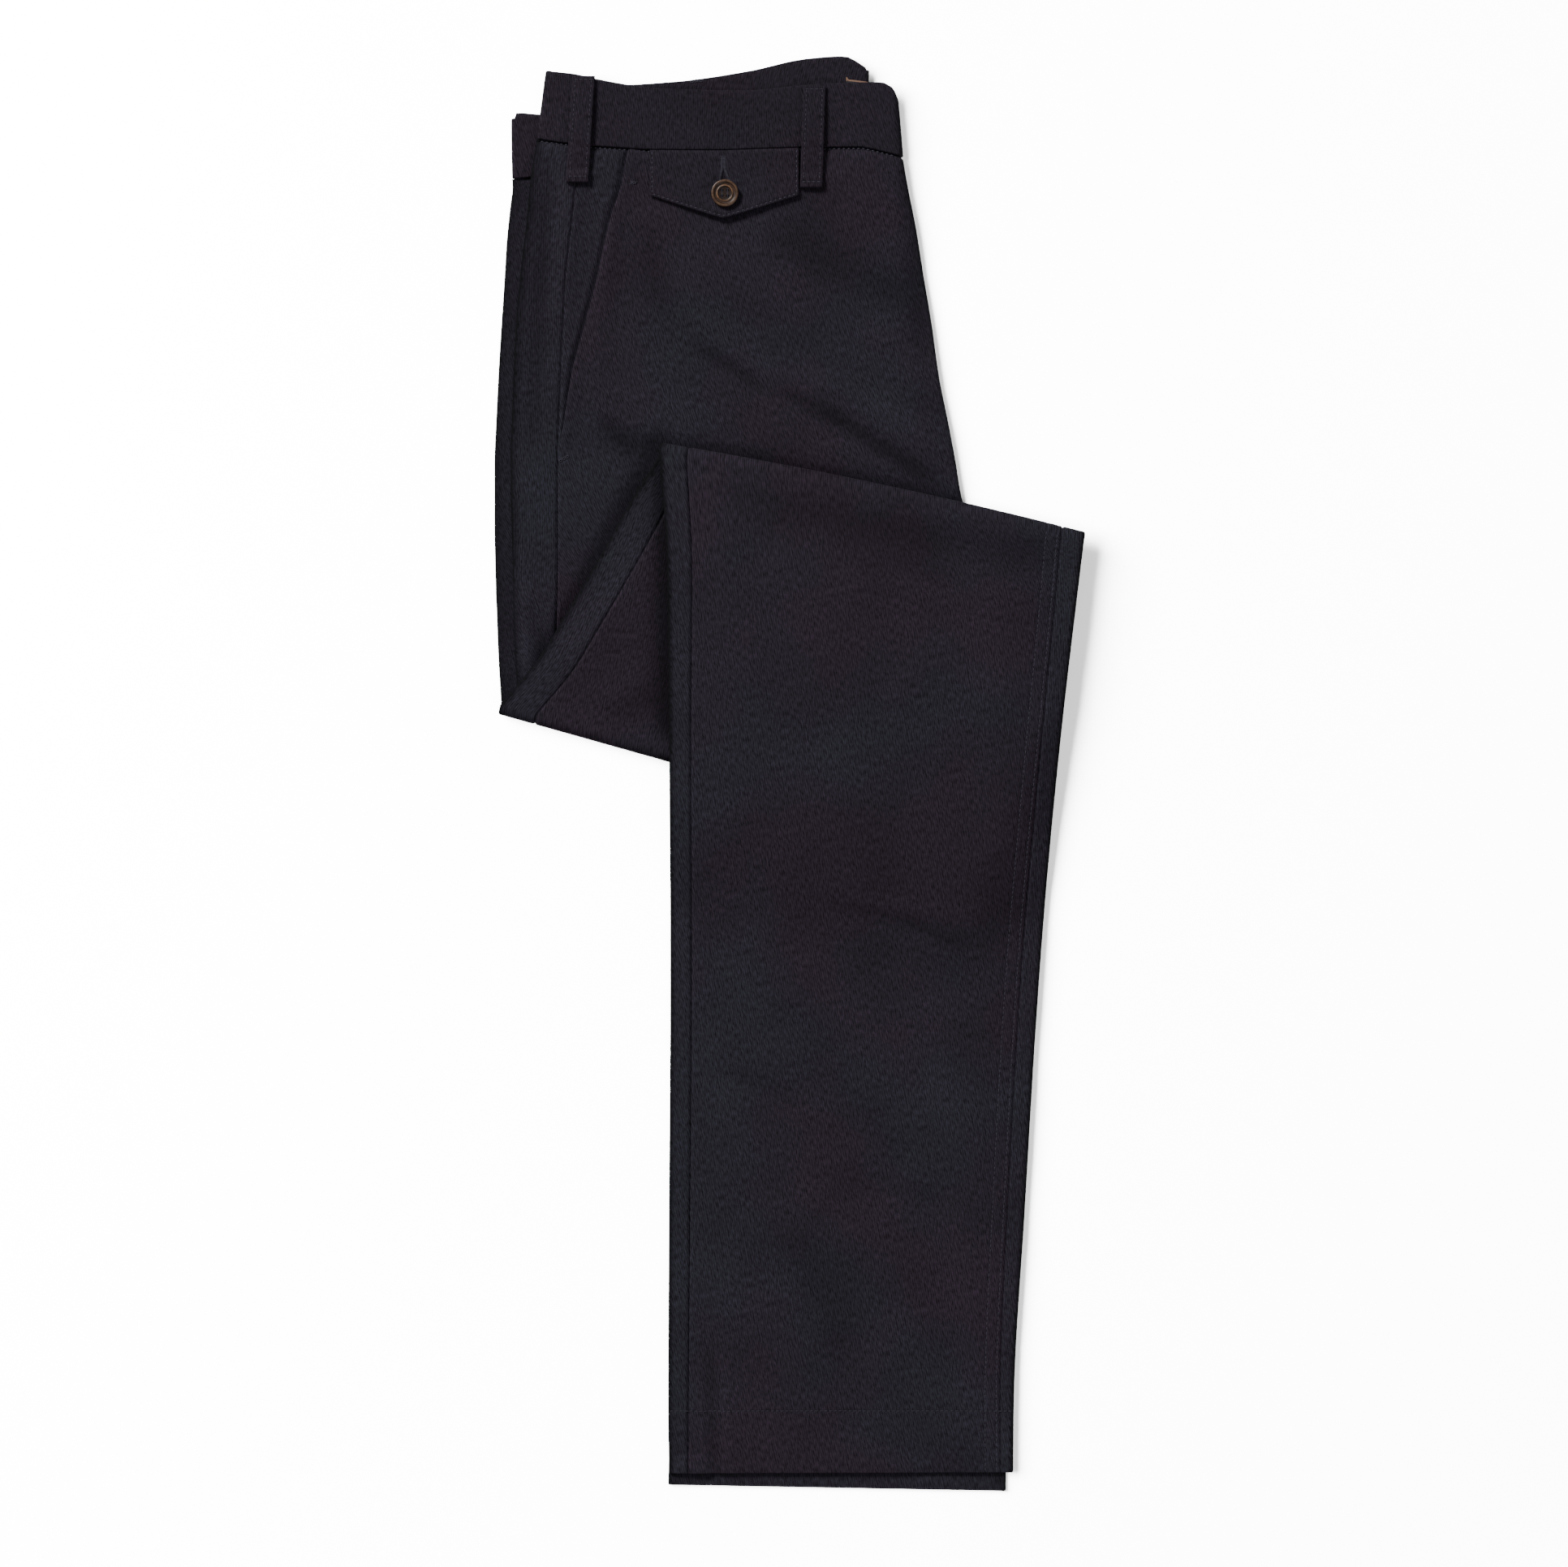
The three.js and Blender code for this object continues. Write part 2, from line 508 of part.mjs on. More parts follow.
// One half of the waistband, from the centre front over the front, round the side and along
// the back to the centre back. The left half is the same with its heights turned over.
function waistband(name, leg, frontEdge, backEdge) {
  const seam = ROWS[0];
  const { width } = seam;
  const side = leg === 'r' ? 0 : seam.l0;
  const rings = [];
  const add = (low, top, shift, z, degrees) => {
    const turned = leg === 'r' ? [z, degrees] : [BAND_PILE - z, -degrees];
    rings.push(bandStation(low, top, shift, ...turned));
  };
  const lowAt = (u, rise, row = leg) => {
    const [x, y] = place(seam, row, u, 0);
    return [x, y + SEAM_GAP + rise];
  };
  const topAt = (edge, u) => {
    const share = (u - side) / (width - side);
    return [along(edge, share, 'x'), along(edge, share, 'y')];
  };
  const half = BAND_PLY / 2;
  const foldRadius = BAND_PILE / 2;
  const inner = TUCK + CORE_ROOM;
  const flatEnd = width - foldRadius;
  const firstTurn = Math.asin(SEAM_GAP / foldRadius);
  for (const share of [0, 0.33, 0.67]) {
    const turn = mix(firstTurn, Math.PI / 2, share);
    const u = flatEnd + foldRadius * Math.cos(turn);
    const reach = -half * Math.cos(turn);
    const z = foldRadius + (foldRadius - half) * Math.sin(turn);
    add(lowAt(u, 0), topAt(frontEdge, u), reach, z, THREE.MathUtils.radToDeg(turn));
  }
  const topPly = BAND_PILE - half;
  const sideStops = leg === 'r' ? [seam.front, inner, seam.side, 12] : [inner, seam.side, 4];
  const cornerStops = [flatEnd, CORNER_STOP * width, width - inner, width - SLOPE_STOP];
  const stops = [...cornerStops, ...[...seam.middle].reverse(), ...sideStops];
  for (const u of stops) add(lowAt(u, 0), topAt(frontEdge, u), 0, topPly, 90);
  const bend = BAND_PLY + AIR / 2;
  for (const degrees of [90, 130, 180, 230, 270]) {
    const reach = bend + (bend - half) * Math.cos(radians(degrees));
    const z = BAND_PILE - bend + (bend - half) * Math.sin(radians(degrees));
    add(lowAt(side, 0), topAt(frontEdge, side), reach, z, degrees);
  }
  const backPly = topPly - BAND_PLY - AIR;
  for (const u of [4, 12, seam.side]) add(lowAt(u, 0), topAt(backEdge, u), 0, backPly, 270);
  const backStops = [...seam.middle, BACK_PEAK * width, width - SLOPE_STOP, CENTRE_BACK * width - bend];
  for (const u of [TUCK - 4, seam.front, ...backStops.sort((a, b) => a - b)]) {
    const rise = BACK_RISE * smooth(u / (CENTRE_BACK * width));
    add(lowAt(u, rise, 'r'), topAt(backEdge, u), 0, backPly, 270);
  }
  for (const degrees of [235, 205]) {
    const reach = -bend - (bend - half) * Math.cos(radians(degrees));
    const z = foldRadius - (bend - half) * Math.sin(radians(degrees));
    const end = CENTRE_BACK * width;
    add(lowAt(end, BACK_RISE, 'r'), topAt(backEdge, end), reach, z, degrees);
  }
  return loft(name, rings, COLOURS.band, fanCap(rings[0].length));
}

// ---- What lies on the right front ----------------------------------------------------------

// Height of the right front's outer face at a point near the waist.
function frontHeight(x, y) {
  for (let i = 0; i + 1 < ROWS.length; i++) {
    const [a, b] = [ROWS[i], ROWS[i + 1]].map((row) => {
      return { y: place(row, 'r', (x - row.start.x) / row.run.x, 0)[1], lift: row.lift };
    });
    if (y <= a.y && y >= b.y) return PILE + mix(a.lift, b.lift, (a.y - y) / (a.y - b.y));
    if (i === 0 && y > a.y) return PILE + a.lift;
  }
  return PILE;
}

function seamLine(x) {
  const { start, run } = ROWS[0];
  return place(ROWS[0], 'r', (x - start.x) / run.x, 0)[1];
}

function pocketFacing() {
  return cloth('pocket_facing', 'r', 0, rowIndex('seat_low'), (row) => {
    const ends = [row.side + SEAM_GAP / 2, row.front - SEAM_GAP];
    const face = rightFace(row);
    return { outer: ends.map((u) => [u, face]), inner: ends.map((u) => [u, face - CLOTH]) };
  });
}

function coinPocketFlap() {
  const rings = [];
  for (const share of [0, 0.25, 0.5, 0.75, 1]) {
    const x = share < 0.5 ? mix(FLAP.left, FLAP.tip, share * 2) : mix(FLAP.tip, FLAP.right, share * 2 - 1);
    const point = 1 - Math.abs(share * 2 - 1);
    const low = mix(FLAP.corner_y, FLAP.tip_y, point);
    const top = seamLine(x) - SEAM_GAP;
    const outer = [];
    const inner = [];
    for (const down of [0, 0.33, 0.67, 1]) {
      const y = mix(top, low, down);
      const z = frontHeight(x, y) + FLAP.gap + FLAP_TIP_LIFT * down * down * point;
      outer.push([x, y, z + FLAP.thickness - (down === 1 ? 0.3 : 0)]);
      inner.push([x, y, z]);
    }
    rings.push([...outer, ...inner.reverse()]);
  }
  return loft('coin_pocket_flap', rings, COLOURS.flap, stripCap(4));
}

function toManifold(geometry) {
  geometry.deleteAttribute('normal');
  geometry.deleteAttribute('uv');
  const merged = mergeVertices(geometry, 1e-4);
  return new wasm.Manifold(
    new wasm.Mesh({ numProp: 3, vertProperties: merged.attributes.position.array, triVerts: merged.index.array }),
  );
}

function button() {
  const radius = BUTTON.diameter / 2;
  const top = BUTTON.thickness;
  const profile = [
    [0, 0],
    [radius - 0.8, 0],
    [radius, 0.8],
    [radius, top - 0.6],
    [radius - 0.6, top],
    [radius - BUTTON.rim + 0.5, top],
    [radius - BUTTON.rim, top - 0.8],
    [0, top - 0.8],
  ].map(([x, y]) => new THREE.Vector2(x, y));
  let solid = toManifold(new THREE.LatheGeometry(profile, 32).rotateX(Math.PI / 2));
  for (const angle of [45, 135, 225, 315]) {
    const bore = new THREE.CylinderGeometry(BUTTON.hole / 2, BUTTON.hole / 2, 3 * top, 10).rotateX(Math.PI / 2);
    const reach = BUTTON.hole_circle / 2;
    bore.translate(reach * Math.cos(radians(angle)), reach * Math.sin(radians(angle)), 0);
    solid = solid.subtract(toManifold(bore));
  }
  const cut = solid.getMesh();
  const result = mesh('button', [[0, 0, 0]], [], COLOURS.button);
  result.geometry.setAttribute('position', new THREE.BufferAttribute(cut.vertProperties, 3));
  result.geometry.setIndex(Array.from(cut.triVerts));
  const flapTop = frontHeight(BUTTON.x, BUTTON.y) + FLAP.gap + FLAP.thickness + FLAP_TIP_LIFT;
  result.position.set(BUTTON.x, BUTTON.y, flapTop + 0.2);
  return result;
}

function beltLoop({ name, top_x, top_y, low_x, low_y }) {
  const half = LOOP.width / 2;
  const length = top_y - low_y;
  const rings = LOOP_BOW.map(({ at, rise }) => {
    const x = mix(top_x, low_x, at);
    const y = mix(top_y, low_y, at);
    const ground = y > seamLine(x) ? BAND_PILE : frontHeight(x, y);
    const turned = (1 - at) * length < LOOP.end_length + 1;
    const thickness = turned ? LOOP.end_thickness : LOOP.thickness;
    const z = ground + rise;
    const round = thickness / 2;
    return [
      [x - half + round / 2, y, z],
      [x + half - round / 2, y, z],
      [x + half, y, z + round],
      [x + half - round / 2, y, z + thickness],
      [x - half + round / 2, y, z + thickness],
      [x - half, y, z + round],
    ];
  });
  return loft(name, rings, COLOURS.band, fanCap(6));
}

function labelEdge() {
  const { left, right, low_y: low, top_y: top, thickness } = LABEL;
  const geometry = new THREE.BoxGeometry(right - left, top - low, thickness);
  const material = new THREE.MeshStandardMaterial({ color: COLOURS.label, roughness: 0.8, metalness: 0 });
  const result = new THREE.Mesh(geometry, material);
  result.name = 'label_edge';
  const backFace = BAND_PILE - BAND_PLY - AIR;
  result.position.set((left + right) / 2, (low + top) / 2, backFace + SEAM_GAP + thickness / 2);
  return result;
}

// ---- Assembly ----------------------------------------------------------------------------

const trousers = new THREE.Group();
trousers.add(
  cloth('right_front', 'r', 0, LAST_ROW, (row) => frontSection(row, 1)),
  cloth('left_front', 'l', 0, LAST_ROW, (row) => frontSection(row, -1)),
  sideStrip('right_back_side', 'r'),
  sideStrip('left_back_side', 'l'),
  inseamStrip('right_back_inseam', 'r'),
  inseamStrip('left_back_inseam', 'l'),
  cloth('folded_layers', 'r', 0, LAST_ROW, coreSection),
  hem('right_hem', 'r'),
  hem('left_hem', 'l'),
  waistband('waistband_right', 'r', BAND_EDGES.right_front, BAND_EDGES.right_back),
  waistband('waistband_left', 'l', BAND_EDGES.left_front, BAND_EDGES.left_back),
  pocketFacing(),
  coinPocketFlap(),
  button(),
  ...LOOPS.map(beltLoop),
  labelEdge(),
);

export default trousers;
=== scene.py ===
"""Twill trousers folded for a shelf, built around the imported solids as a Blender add-on.

Panels, waistband and belt loops are sheets of cloth laid through rows that run down the folded
legs. X runs to the wearer's left, Y up to the waistband and Z up from the table. Tables hold
millimetres, and every Blender object holds metres.
"""

import json
import math

import bmesh
import bpy
import numpy as np
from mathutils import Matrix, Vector

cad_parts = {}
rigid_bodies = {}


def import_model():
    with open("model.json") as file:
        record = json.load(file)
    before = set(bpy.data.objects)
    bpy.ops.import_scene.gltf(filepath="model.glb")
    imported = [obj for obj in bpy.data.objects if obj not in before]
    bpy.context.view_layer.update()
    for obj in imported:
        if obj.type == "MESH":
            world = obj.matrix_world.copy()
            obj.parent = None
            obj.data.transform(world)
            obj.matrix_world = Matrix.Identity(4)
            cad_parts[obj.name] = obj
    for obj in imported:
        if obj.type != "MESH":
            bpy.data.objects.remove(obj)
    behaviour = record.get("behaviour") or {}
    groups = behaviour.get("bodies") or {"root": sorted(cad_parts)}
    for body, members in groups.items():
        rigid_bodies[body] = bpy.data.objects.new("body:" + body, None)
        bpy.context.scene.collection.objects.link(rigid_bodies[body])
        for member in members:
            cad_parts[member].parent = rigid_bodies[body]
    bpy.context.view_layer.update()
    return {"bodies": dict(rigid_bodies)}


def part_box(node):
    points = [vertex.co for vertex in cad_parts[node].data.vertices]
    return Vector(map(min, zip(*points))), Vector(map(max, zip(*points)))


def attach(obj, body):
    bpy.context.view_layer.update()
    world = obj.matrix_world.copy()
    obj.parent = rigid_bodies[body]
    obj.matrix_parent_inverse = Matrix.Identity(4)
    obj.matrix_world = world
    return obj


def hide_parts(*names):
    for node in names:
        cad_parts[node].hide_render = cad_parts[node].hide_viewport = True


bl_info = {
    "name": "Folded twill trousers",
    "version": (1, 0, 0),
    "blender": (4, 5, 0),
    "location": "View3D > Sidebar > Trousers",
    "description": "Folded cotton twill trousers with a coin pocket flap, belt loops and a button",
    "category": "Add Mesh",
}

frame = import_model()
BODY = next(iter(frame["bodies"]))
bpy.ops.object.select_all(action="DESELECT")

MM = 0.001

# ---- The folded pile: the same plies, folds and rows as the solids --------------------------

PILE = 5.05  # four plies: left front, left back, right back, right front
AIR = 0.35
STOREY = PILE + AIR
REACH = PILE + AIR / 2
ROLL = 1.175  # outer radius of one leg's folded edge
WAIST_LIFT = 2.7  # the thick waistband holds the right leg up
LIFT_FROM, LIFT_TO = 235, 345
POCKET_EDGE = 0.9
BAND_PLY = 1.8
BAND_PILE = 8.25
BACK_BAND = BAND_PILE - BAND_PLY - AIR  # height of the right back's waistband
SIDE_BRIDGE, SIDE_DROP = 12, 44
FOLD_BRIDGE, FOLD_DROP = 12, 70
BACK_RISE = 14  # rise of the back's upper edge to the centre back
CENTRE_BACK = 0.9
HEM_DEPTH = 34

# Rows down the legs. x0 y0 and x1 y1 are the right leg's folded edges, l0 and l1 how far inside
# them the left leg's edges lie, drop0 and drop1 how much lower it lies. curl is 1 where the
# fronts meet round the centre front. side, lside and inseam are seam distances from the edges,
# front that of the right front's edge. wave is 1 where the waistband seam wanders.
ROW_COLUMNS = (
    "x0", "y0", "x1", "y1", "l0", "l1", "drop0", "drop1",
    "curl", "side", "front", "lside", "inseam", "bow", "wave",
)
LEVELS = {
    "band_seam": (-139.9, 352.2, 63.3, 342.6, -14.2, 0, -20.5, 0, 1, 23.5, 50.9, 22, 8, 0, 1),
    "pocket_top": (-143.3, 332.6, 65.5, 329.4, -11, 0, -10, 0, 1, 25.5, 51.1, 22, 8, 0, 0),
    "flap_low": (-146.0, 305.6, 70.7, 303.3, -10.8, 0, -4.7, 0, 1, 25.3, 45.9, 22, 8, 0, 0),
    "hip": (-149.2, 278.6, 74.9, 277.2, -9.2, 0, -2.4, 0, 1, 25.2, 43.3, 22, 8, 0, 0),
    "hip_low": (-151.7, 251.6, 79.4, 250.7, -8.3, 0, 0, 0, 1, 26.2, 38.7, 22, 8, 0, 0),
    "seat": (-153.2, 222.3, 83.5, 221.4, -8.6, 0, 0, 0, 1, 26.2, 32.4, 22, 8, 0, 0),
    "seat_low": (-154.1, 195.3, 88.9, 194.4, -9.0, 0, 0, 0, 1, 26.1, 28.8, 22, 8, 0, 0),
    "pocket_end": (-154.8, 174.6, 92.9, 172.8, -9.2, 0, 0, 0, 1, 26.1, 26.4, 22, 8, 0, 0),
    "rise_low": (-154.6, 154.8, 96.1, 153.9, -9.4, 0, 0, 0, 1, 25.6, 25.9, 22, 8, 0, 0),
    "fork": (-154.0, 128.8, 108.0, 127.9, -9.9, 0, 0, 0, 1, 25.0, 25.3, 22, 8, 0, 0),
    "crotch": (-153.4, 103.5, 121.7, 101.0, -9.9, 0, 0, 0, 0, 24.4, 24.7, 22, 16, 0, 0),
    "thigh": (-153.1, 85.0, 119.9, 73.8, -9.5, 0, 0, 0, 0, 23.6, 23.9, 22, 16, 0, 0),
    "lower_fold": (-151.9, 30.6, 97.9, -39.6, -10.1, 0, 0, 0, 0, 22.0, 22.3, 21, 15, 0, 0),
    "turned_up": (-131.2, 68.9, 115.0, 5.9, -4.0, 2.0, 0, 0, 0, 20.0, 20.3, 20.7, 14, 0, 0),
    "under_knee": (-89.3, 142.7, 147.4, 90.9, -3.0, 2.0, 0, 0, 0, 17.0, 17.3, 20.3, 13, 0, 0),
    "upper_fold": (-70.7, 183.6, 164.0, 134.1, 1.2, 2.8, 0, 0, 0, 15.0, 15.3, 15, 13, 2.6, 0),
    "knee": (-67.5, 114.3, 160.0, 105.3, 1.0, 3.6, 0, 0, 0, 13.5, 13.8, 13, 12, 0, 0),
    "calf": (-66.4, 24.3, 150.5, 22.1, 1.2, 3.6, 0, 0, 0, 11.8, 12.1, 12, 10.6, 0, 0),
    "calf_low": (-66.1, -120.0, 138.4, -120.0, 1.1, 3.6, 0, 0, 0, 11.6, 11.9, 12, 10.2, 0, 0),
    "shin": (-66.8, -236.7, 131.2, -236.7, 1.3, 3.6, 0, 0, 0, 11.4, 11.7, 12, 9.6, 0, 0),
    "hem_stitch": (-67.3, -353.7, 124.7, -353.7, 0.7, 3.9, -4.5, -7.7, 0, 11.0, 11.3, 11, 7.5, 0, 0),
    "hem": (-66.8, -387.9, 124.4, -387.4, -0.5, 4.0, -6.8, -10.8, 0, 10.4, 10.7, 11, 7.0, 0, 0),
}
NAMES = list(LEVELS)
WAIST, TURN, BACK, RETURN, SHIN = range(5)
ROW_STEP = 3.0
ROWS_APART = 0.25
DITCH_ROWS = (0.3, 0.7, 1.2, 1.9)  # more rows beside the waistband seam
GROOVE_ROWS = np.array([-1.0, -0.6, -0.3, 0.3, 0.6, 1.0])  # and beside the hem's stitches
TURN_STEPS = 14
HEM_ROLL = 0.525
HEM_TURNS = 6
SEAM_WAVE = {
    "at": (0, 0.1157, 0.31, 0.51, 0.72, 0.89, 1),
    "rise": (0, -2.2, -3.0, -1.3, 2.2, 4.2, 0),
}

# Upper edges of the waistband: share along its seam, and the point.
BAND_EDGES = {
    "right_front": (
        (0, -135.2, 390.2), (0.08, -119.0, 388.4), (0.16, -106.5, 385.6), (0.31, -72.0, 380.4),
        (0.51, -26.0, 379.3), (0.72, 5.6, 382.0), (0.8, 20.5, 383.1), (0.95, 50.6, 383.9),
        (0.985, 57.4, 380.8), (1, 60.6, 374.8),
    ),
    "right_back": (
        (0, -135.2, 390.2), (0.08, -119.0, 387.4), (0.21, -97.4, 382.6), (0.37, -65.0, 384.4),
        (0.57, -23.6, 390.2), (0.74, 10.1, 397.3), (0.84, 30.4, 398.7), (0.9, 44.6, 391.0),
    ),
    "left_front": (
        (0, -154.6, 364.6), (0.1, -136.0, 366.5), (0.34, -77.6, 374.0), (0.51, -35.8, 377.0),
        (0.8, 20.5, 379.0), (0.95, 50.6, 381.0), (1, 60.6, 374.0),
    ),
    "left_back": (
        (0, -154.6, 364.6), (0.02, -151.4, 367.6), (0.1, -136.0, 366.7), (0.34, -77.6, 377.0),
        (0.57, -23.6, 386.5), (0.74, 10.1, 394.0), (0.9, 43.0, 389.0),
    ),
}

# Soft creases pressed or rumpled into the cloth: the stretch of the leg, the leg, both ends, the
# half width and the height of the ridge, which is below zero for a trough.
CREASES = (
    (WAIST, "right", -3, 213, 29, 196, 4.5, -0.8),
    (WAIST, "right", 29, 196, 76, 166, 4.5, -1.1),
    (WAIST, "right", 14, 222, 80, 184, 8.0, 0.9),
    (WAIST, "right", -51, 238, -15, 215, 4.5, -0.7),
    (WAIST, "right", -34, 240, 10, 212, 8.0, 0.5),
    (WAIST, "right", -102, 196, -88, 180, 4.0, -0.6),
    (WAIST, "right", -4, 292, 66, 264, 13.0, -0.45),
    (WAIST, "right", 66, 335, 74, 242, 6.0, -0.5),
    (WAIST, "right", -76, 300, -70, 262, 8.0, -0.35),
    (WAIST, "right", -88, 250, -60, 170, 14.0, 0.5),
    (WAIST, "right", -62, 300, 6, 262, 16.0, 0.4),
    (WAIST, "right", -98, 300, -108, 230, 6.0, 0.8),
    (WAIST, "right", -143, 92, -136, 60, 5.0, -0.8),
    (WAIST, "right", -150, 110, -141, 40, 7.0, 1.0),
    (WAIST, "right", -122, 330, -126, 262, 7.0, 0.6),
    (WAIST, "right", -134, 330, -142, 200, 5.0, -0.5),
    (WAIST, "right", -70, 180, 110, 142, 7.0, -1.4),
    (WAIST, "right", -150, 30, -74, 176, 6.0, -1.1),
    (WAIST, "left", -90, 240, -20, 160, 12.0, -0.5),
    (WAIST, "left", -10, 300, 55, 210, 14.0, -0.4),
    (WAIST, "left", -120, 120, -60, 70, 9.0, -0.5),
    (BACK, "left", -63, 184, -63, 4, 9.0, -2.4),
    (BACK, "left", -120, 66, -82, 118, 8.0, 0.6),
    (BACK, "left", -100, 30, -74, 44, 8.0, -0.4),
    (BACK, "left", -84, 20, -60, 10, 10.0, 0.5),
    (SHIN, "right", -43, -330, -41.5, -388, 3.2, -0.6),
    (SHIN, "right", -49, -332, -47, -388, 4.0, 0.5),
    (SHIN, "right", -36, -326, -34, -386, 5.0, 0.45),
    (SHIN, "right", -62, -384, -48, -388, 6.0, 0.8),
    (SHIN, "right", -6, 150, 146, 120, 13.0, -0.5),
    (SHIN, "right", 60, 108, 92, 92, 5.0, 0.4),
    (SHIN, "right", -50, 150, -20, 60, 14.0, 0.5),
    (SHIN, "right", 20, -72, 66, -82, 4.0, -0.35),
    (SHIN, "right", 66, -82, 96, -96, 4.5, -0.55),
    (SHIN, "right", 80, -74, 106, -84, 6.0, 0.35),
    (SHIN, "right", -50, -110, -24, -230, 12.0, 0.35),
    (SHIN, "right", -44, -164, -4, -176, 6.0, -0.35),
    (SHIN, "right", 4, -262, 40, -330, 14.0, -0.3),
    (SHIN, "right", 30, -226, 92, -238, 8.0, -0.25),
    (SHIN, "right", 84, -150, 104, -320, 10.0, 0.3),
    (SHIN, "left", -20, -120, 60, -180, 14.0, -0.5),
    (SHIN, "left", 20, -280, 80, -330, 12.0, -0.5),
)

CREASE_ENDS, CREASE_FADE = 0.3, 0.5  # how far past its ends a crease runs, and fades, as shares
TROUGH_MOST, RIDGE_MOST = 2.0, 3.2  # heights that no crease passes
# Slow swelling of the cloth everywhere: its height, and how far each of its two crossed waves
# runs along x and y for a turn of one radian, with where it starts.
SWELLS = (
    (0.12, (17.0, 29.0, 0.0), (-41.0, 23.0, 1.3)),
    (0.07, (8.3, -13.7, 0.7), (math.inf, 11.9, 0.4)),
)

FLAP = {"left": -77.4, "tip": -36.8, "right": 5.4, "corner_y": 320.7, "tip_y": 307.6}
FLAP_GAP = 0.35
FLAP_PLY = 1.4
FLAP_TIP_LIFT = 0.5
FLAP_EDGE_LIFT = 1.25
FLAP_LONG, FLAP_HALF = 35, 42  # how far down and beside the point the lift takes to fade
FLAP_WAVE, FLAP_WAVE_RUN = 0.25, 9.0
FLAP_SHELL = 0.8  # share of its ply that the sheet fills
BUTTON_AT = (-35.7, 321.7)
LOOPS = {
    "belt_loop_side": ((-113.9, 386.9), (-117.4, 327.8)),
    "belt_loop_front": ((14.0, 381.5), (12.2, 325.0)),
}
LOOP_WIDTH = 12.6
LOOP_PLY = 1.6
LOOP_END_PLY = 2.6
LOOP_END = 6
LOOP_BOW = {
    "at": (0, 0.12, 0.3, 0.55, 0.68, 0.82, 0.9, 1),
    "rise": (0.3, 0.6, 1.2, 1.3, 1.3, 0.8, 0.3, 0.3),
}

# ---- Sizes and colours a user would change --------------------------------------------------


def length_property(name, description, default):
    return bpy.props.FloatProperty(
        name=name, description=description, default=default, unit="LENGTH", precision=5
    )


class TrousersSizes(bpy.types.PropertyGroup):
    ply: length_property("Cloth", "Thickness of one ply of twill", 0.0005)
    ditch: length_property("Seam depth", "How deep a seam draws the cloth in", 0.0007)
    ditch_width: length_property("Seam width", "Half width of the hollow along a seam", 0.0007)
    stitch_pitch: length_property("Stitch pitch", "From one topstitch to the next", 0.0027)
    thread: length_property("Thread", "Diameter of the sewing thread", 0.00042)
    button: length_property("Button", "Diameter of the button", 0.015)
    rib: length_property("Twill rib", "From one rib of the twill to the next", 0.0012)
    crease: bpy.props.FloatProperty(
        name="Creases", description="Strength of the soft creases", default=1.8, subtype="FACTOR"
    )


def hex_colour(text):
    """Linear RGBA of an sRGB hex colour."""
    channels = [int(text[i : i + 2], 16) / 255 for i in (0, 2, 4)]
    linear = [c / 12.92 if c <= 0.04045 else ((c + 0.055) / 1.055) ** 2.4 for c in channels]
    return (*linear, 1.0)


def colour_property(name, description, text):
    return bpy.props.FloatVectorProperty(
        name=name, description=description, default=hex_colour(text), size=4, min=0, max=1, subtype="COLOR"
    )


class TrousersColours(bpy.types.PropertyGroup):
    rib_light: colour_property("Rib", "Top of a rib where the cloth looks navy", "30303a")
    rib_dark: colour_property("Furrow", "Between two ribs", "0b090c")
    warm: colour_property("Warm shade", "Patches where the dye looks warmer", "342936")
    thread: colour_property("Thread", "Sewing thread", "2f2c37")
    horn: colour_property("Horn", "Body of the button", "1d0e07")
    horn_pale: colour_property("Pale horn", "Rim and ring of the button", "7a5b44")
    label: colour_property("Label", "Woven edge of the tape at the centre back", "8c6b58")
    label_ground: colour_property("Label ground", "The rest of that tape", "201e25")
    floor: colour_property("Floor", "Table under the trousers", "ffffff")


# ---- Rows -----------------------------------------------------------------------------------


def smooth(t):
    """Eases from 0 to 1, and stays level outside them."""
    t = np.clip(t, 0, 1)
    return t * t * (3 - 2 * t)


def mix(a, b, t):
    return a + (b - a) * t


def smooth_through(at, knots, values):
    """Columns of a table at places between its rows, on a curve that never overshoots."""
    step = np.diff(knots)[:, None]
    slope = np.diff(values, axis=0) / step
    left, right = slope[:-1], slope[1:]
    w1, w2 = 2 * step[1:] + step[:-1], step[1:] + 2 * step[:-1]
    same = left * right > 0
    harmonic = (w1 + w2) / (w1 / np.where(same, left, 1) + w2 / np.where(same, right, 1))
    tangent = np.vstack([slope[:1], np.where(same, harmonic, 0), slope[-1:]])
    i = np.clip(np.searchsorted(knots, at, side="right") - 1, 0, len(knots) - 2)
    t = ((at - knots[i]) / step[i, 0])[:, None]
    start, end, run = values[i], values[i + 1], step[i]
    return (
        start * (2 * t**3 - 3 * t**2 + 1)
        + end * (3 * t**2 - 2 * t**3)
        + run * (tangent[i] * (t**3 - 2 * t**2 + t) + tangent[i + 1] * (t**3 - t**2))
    )


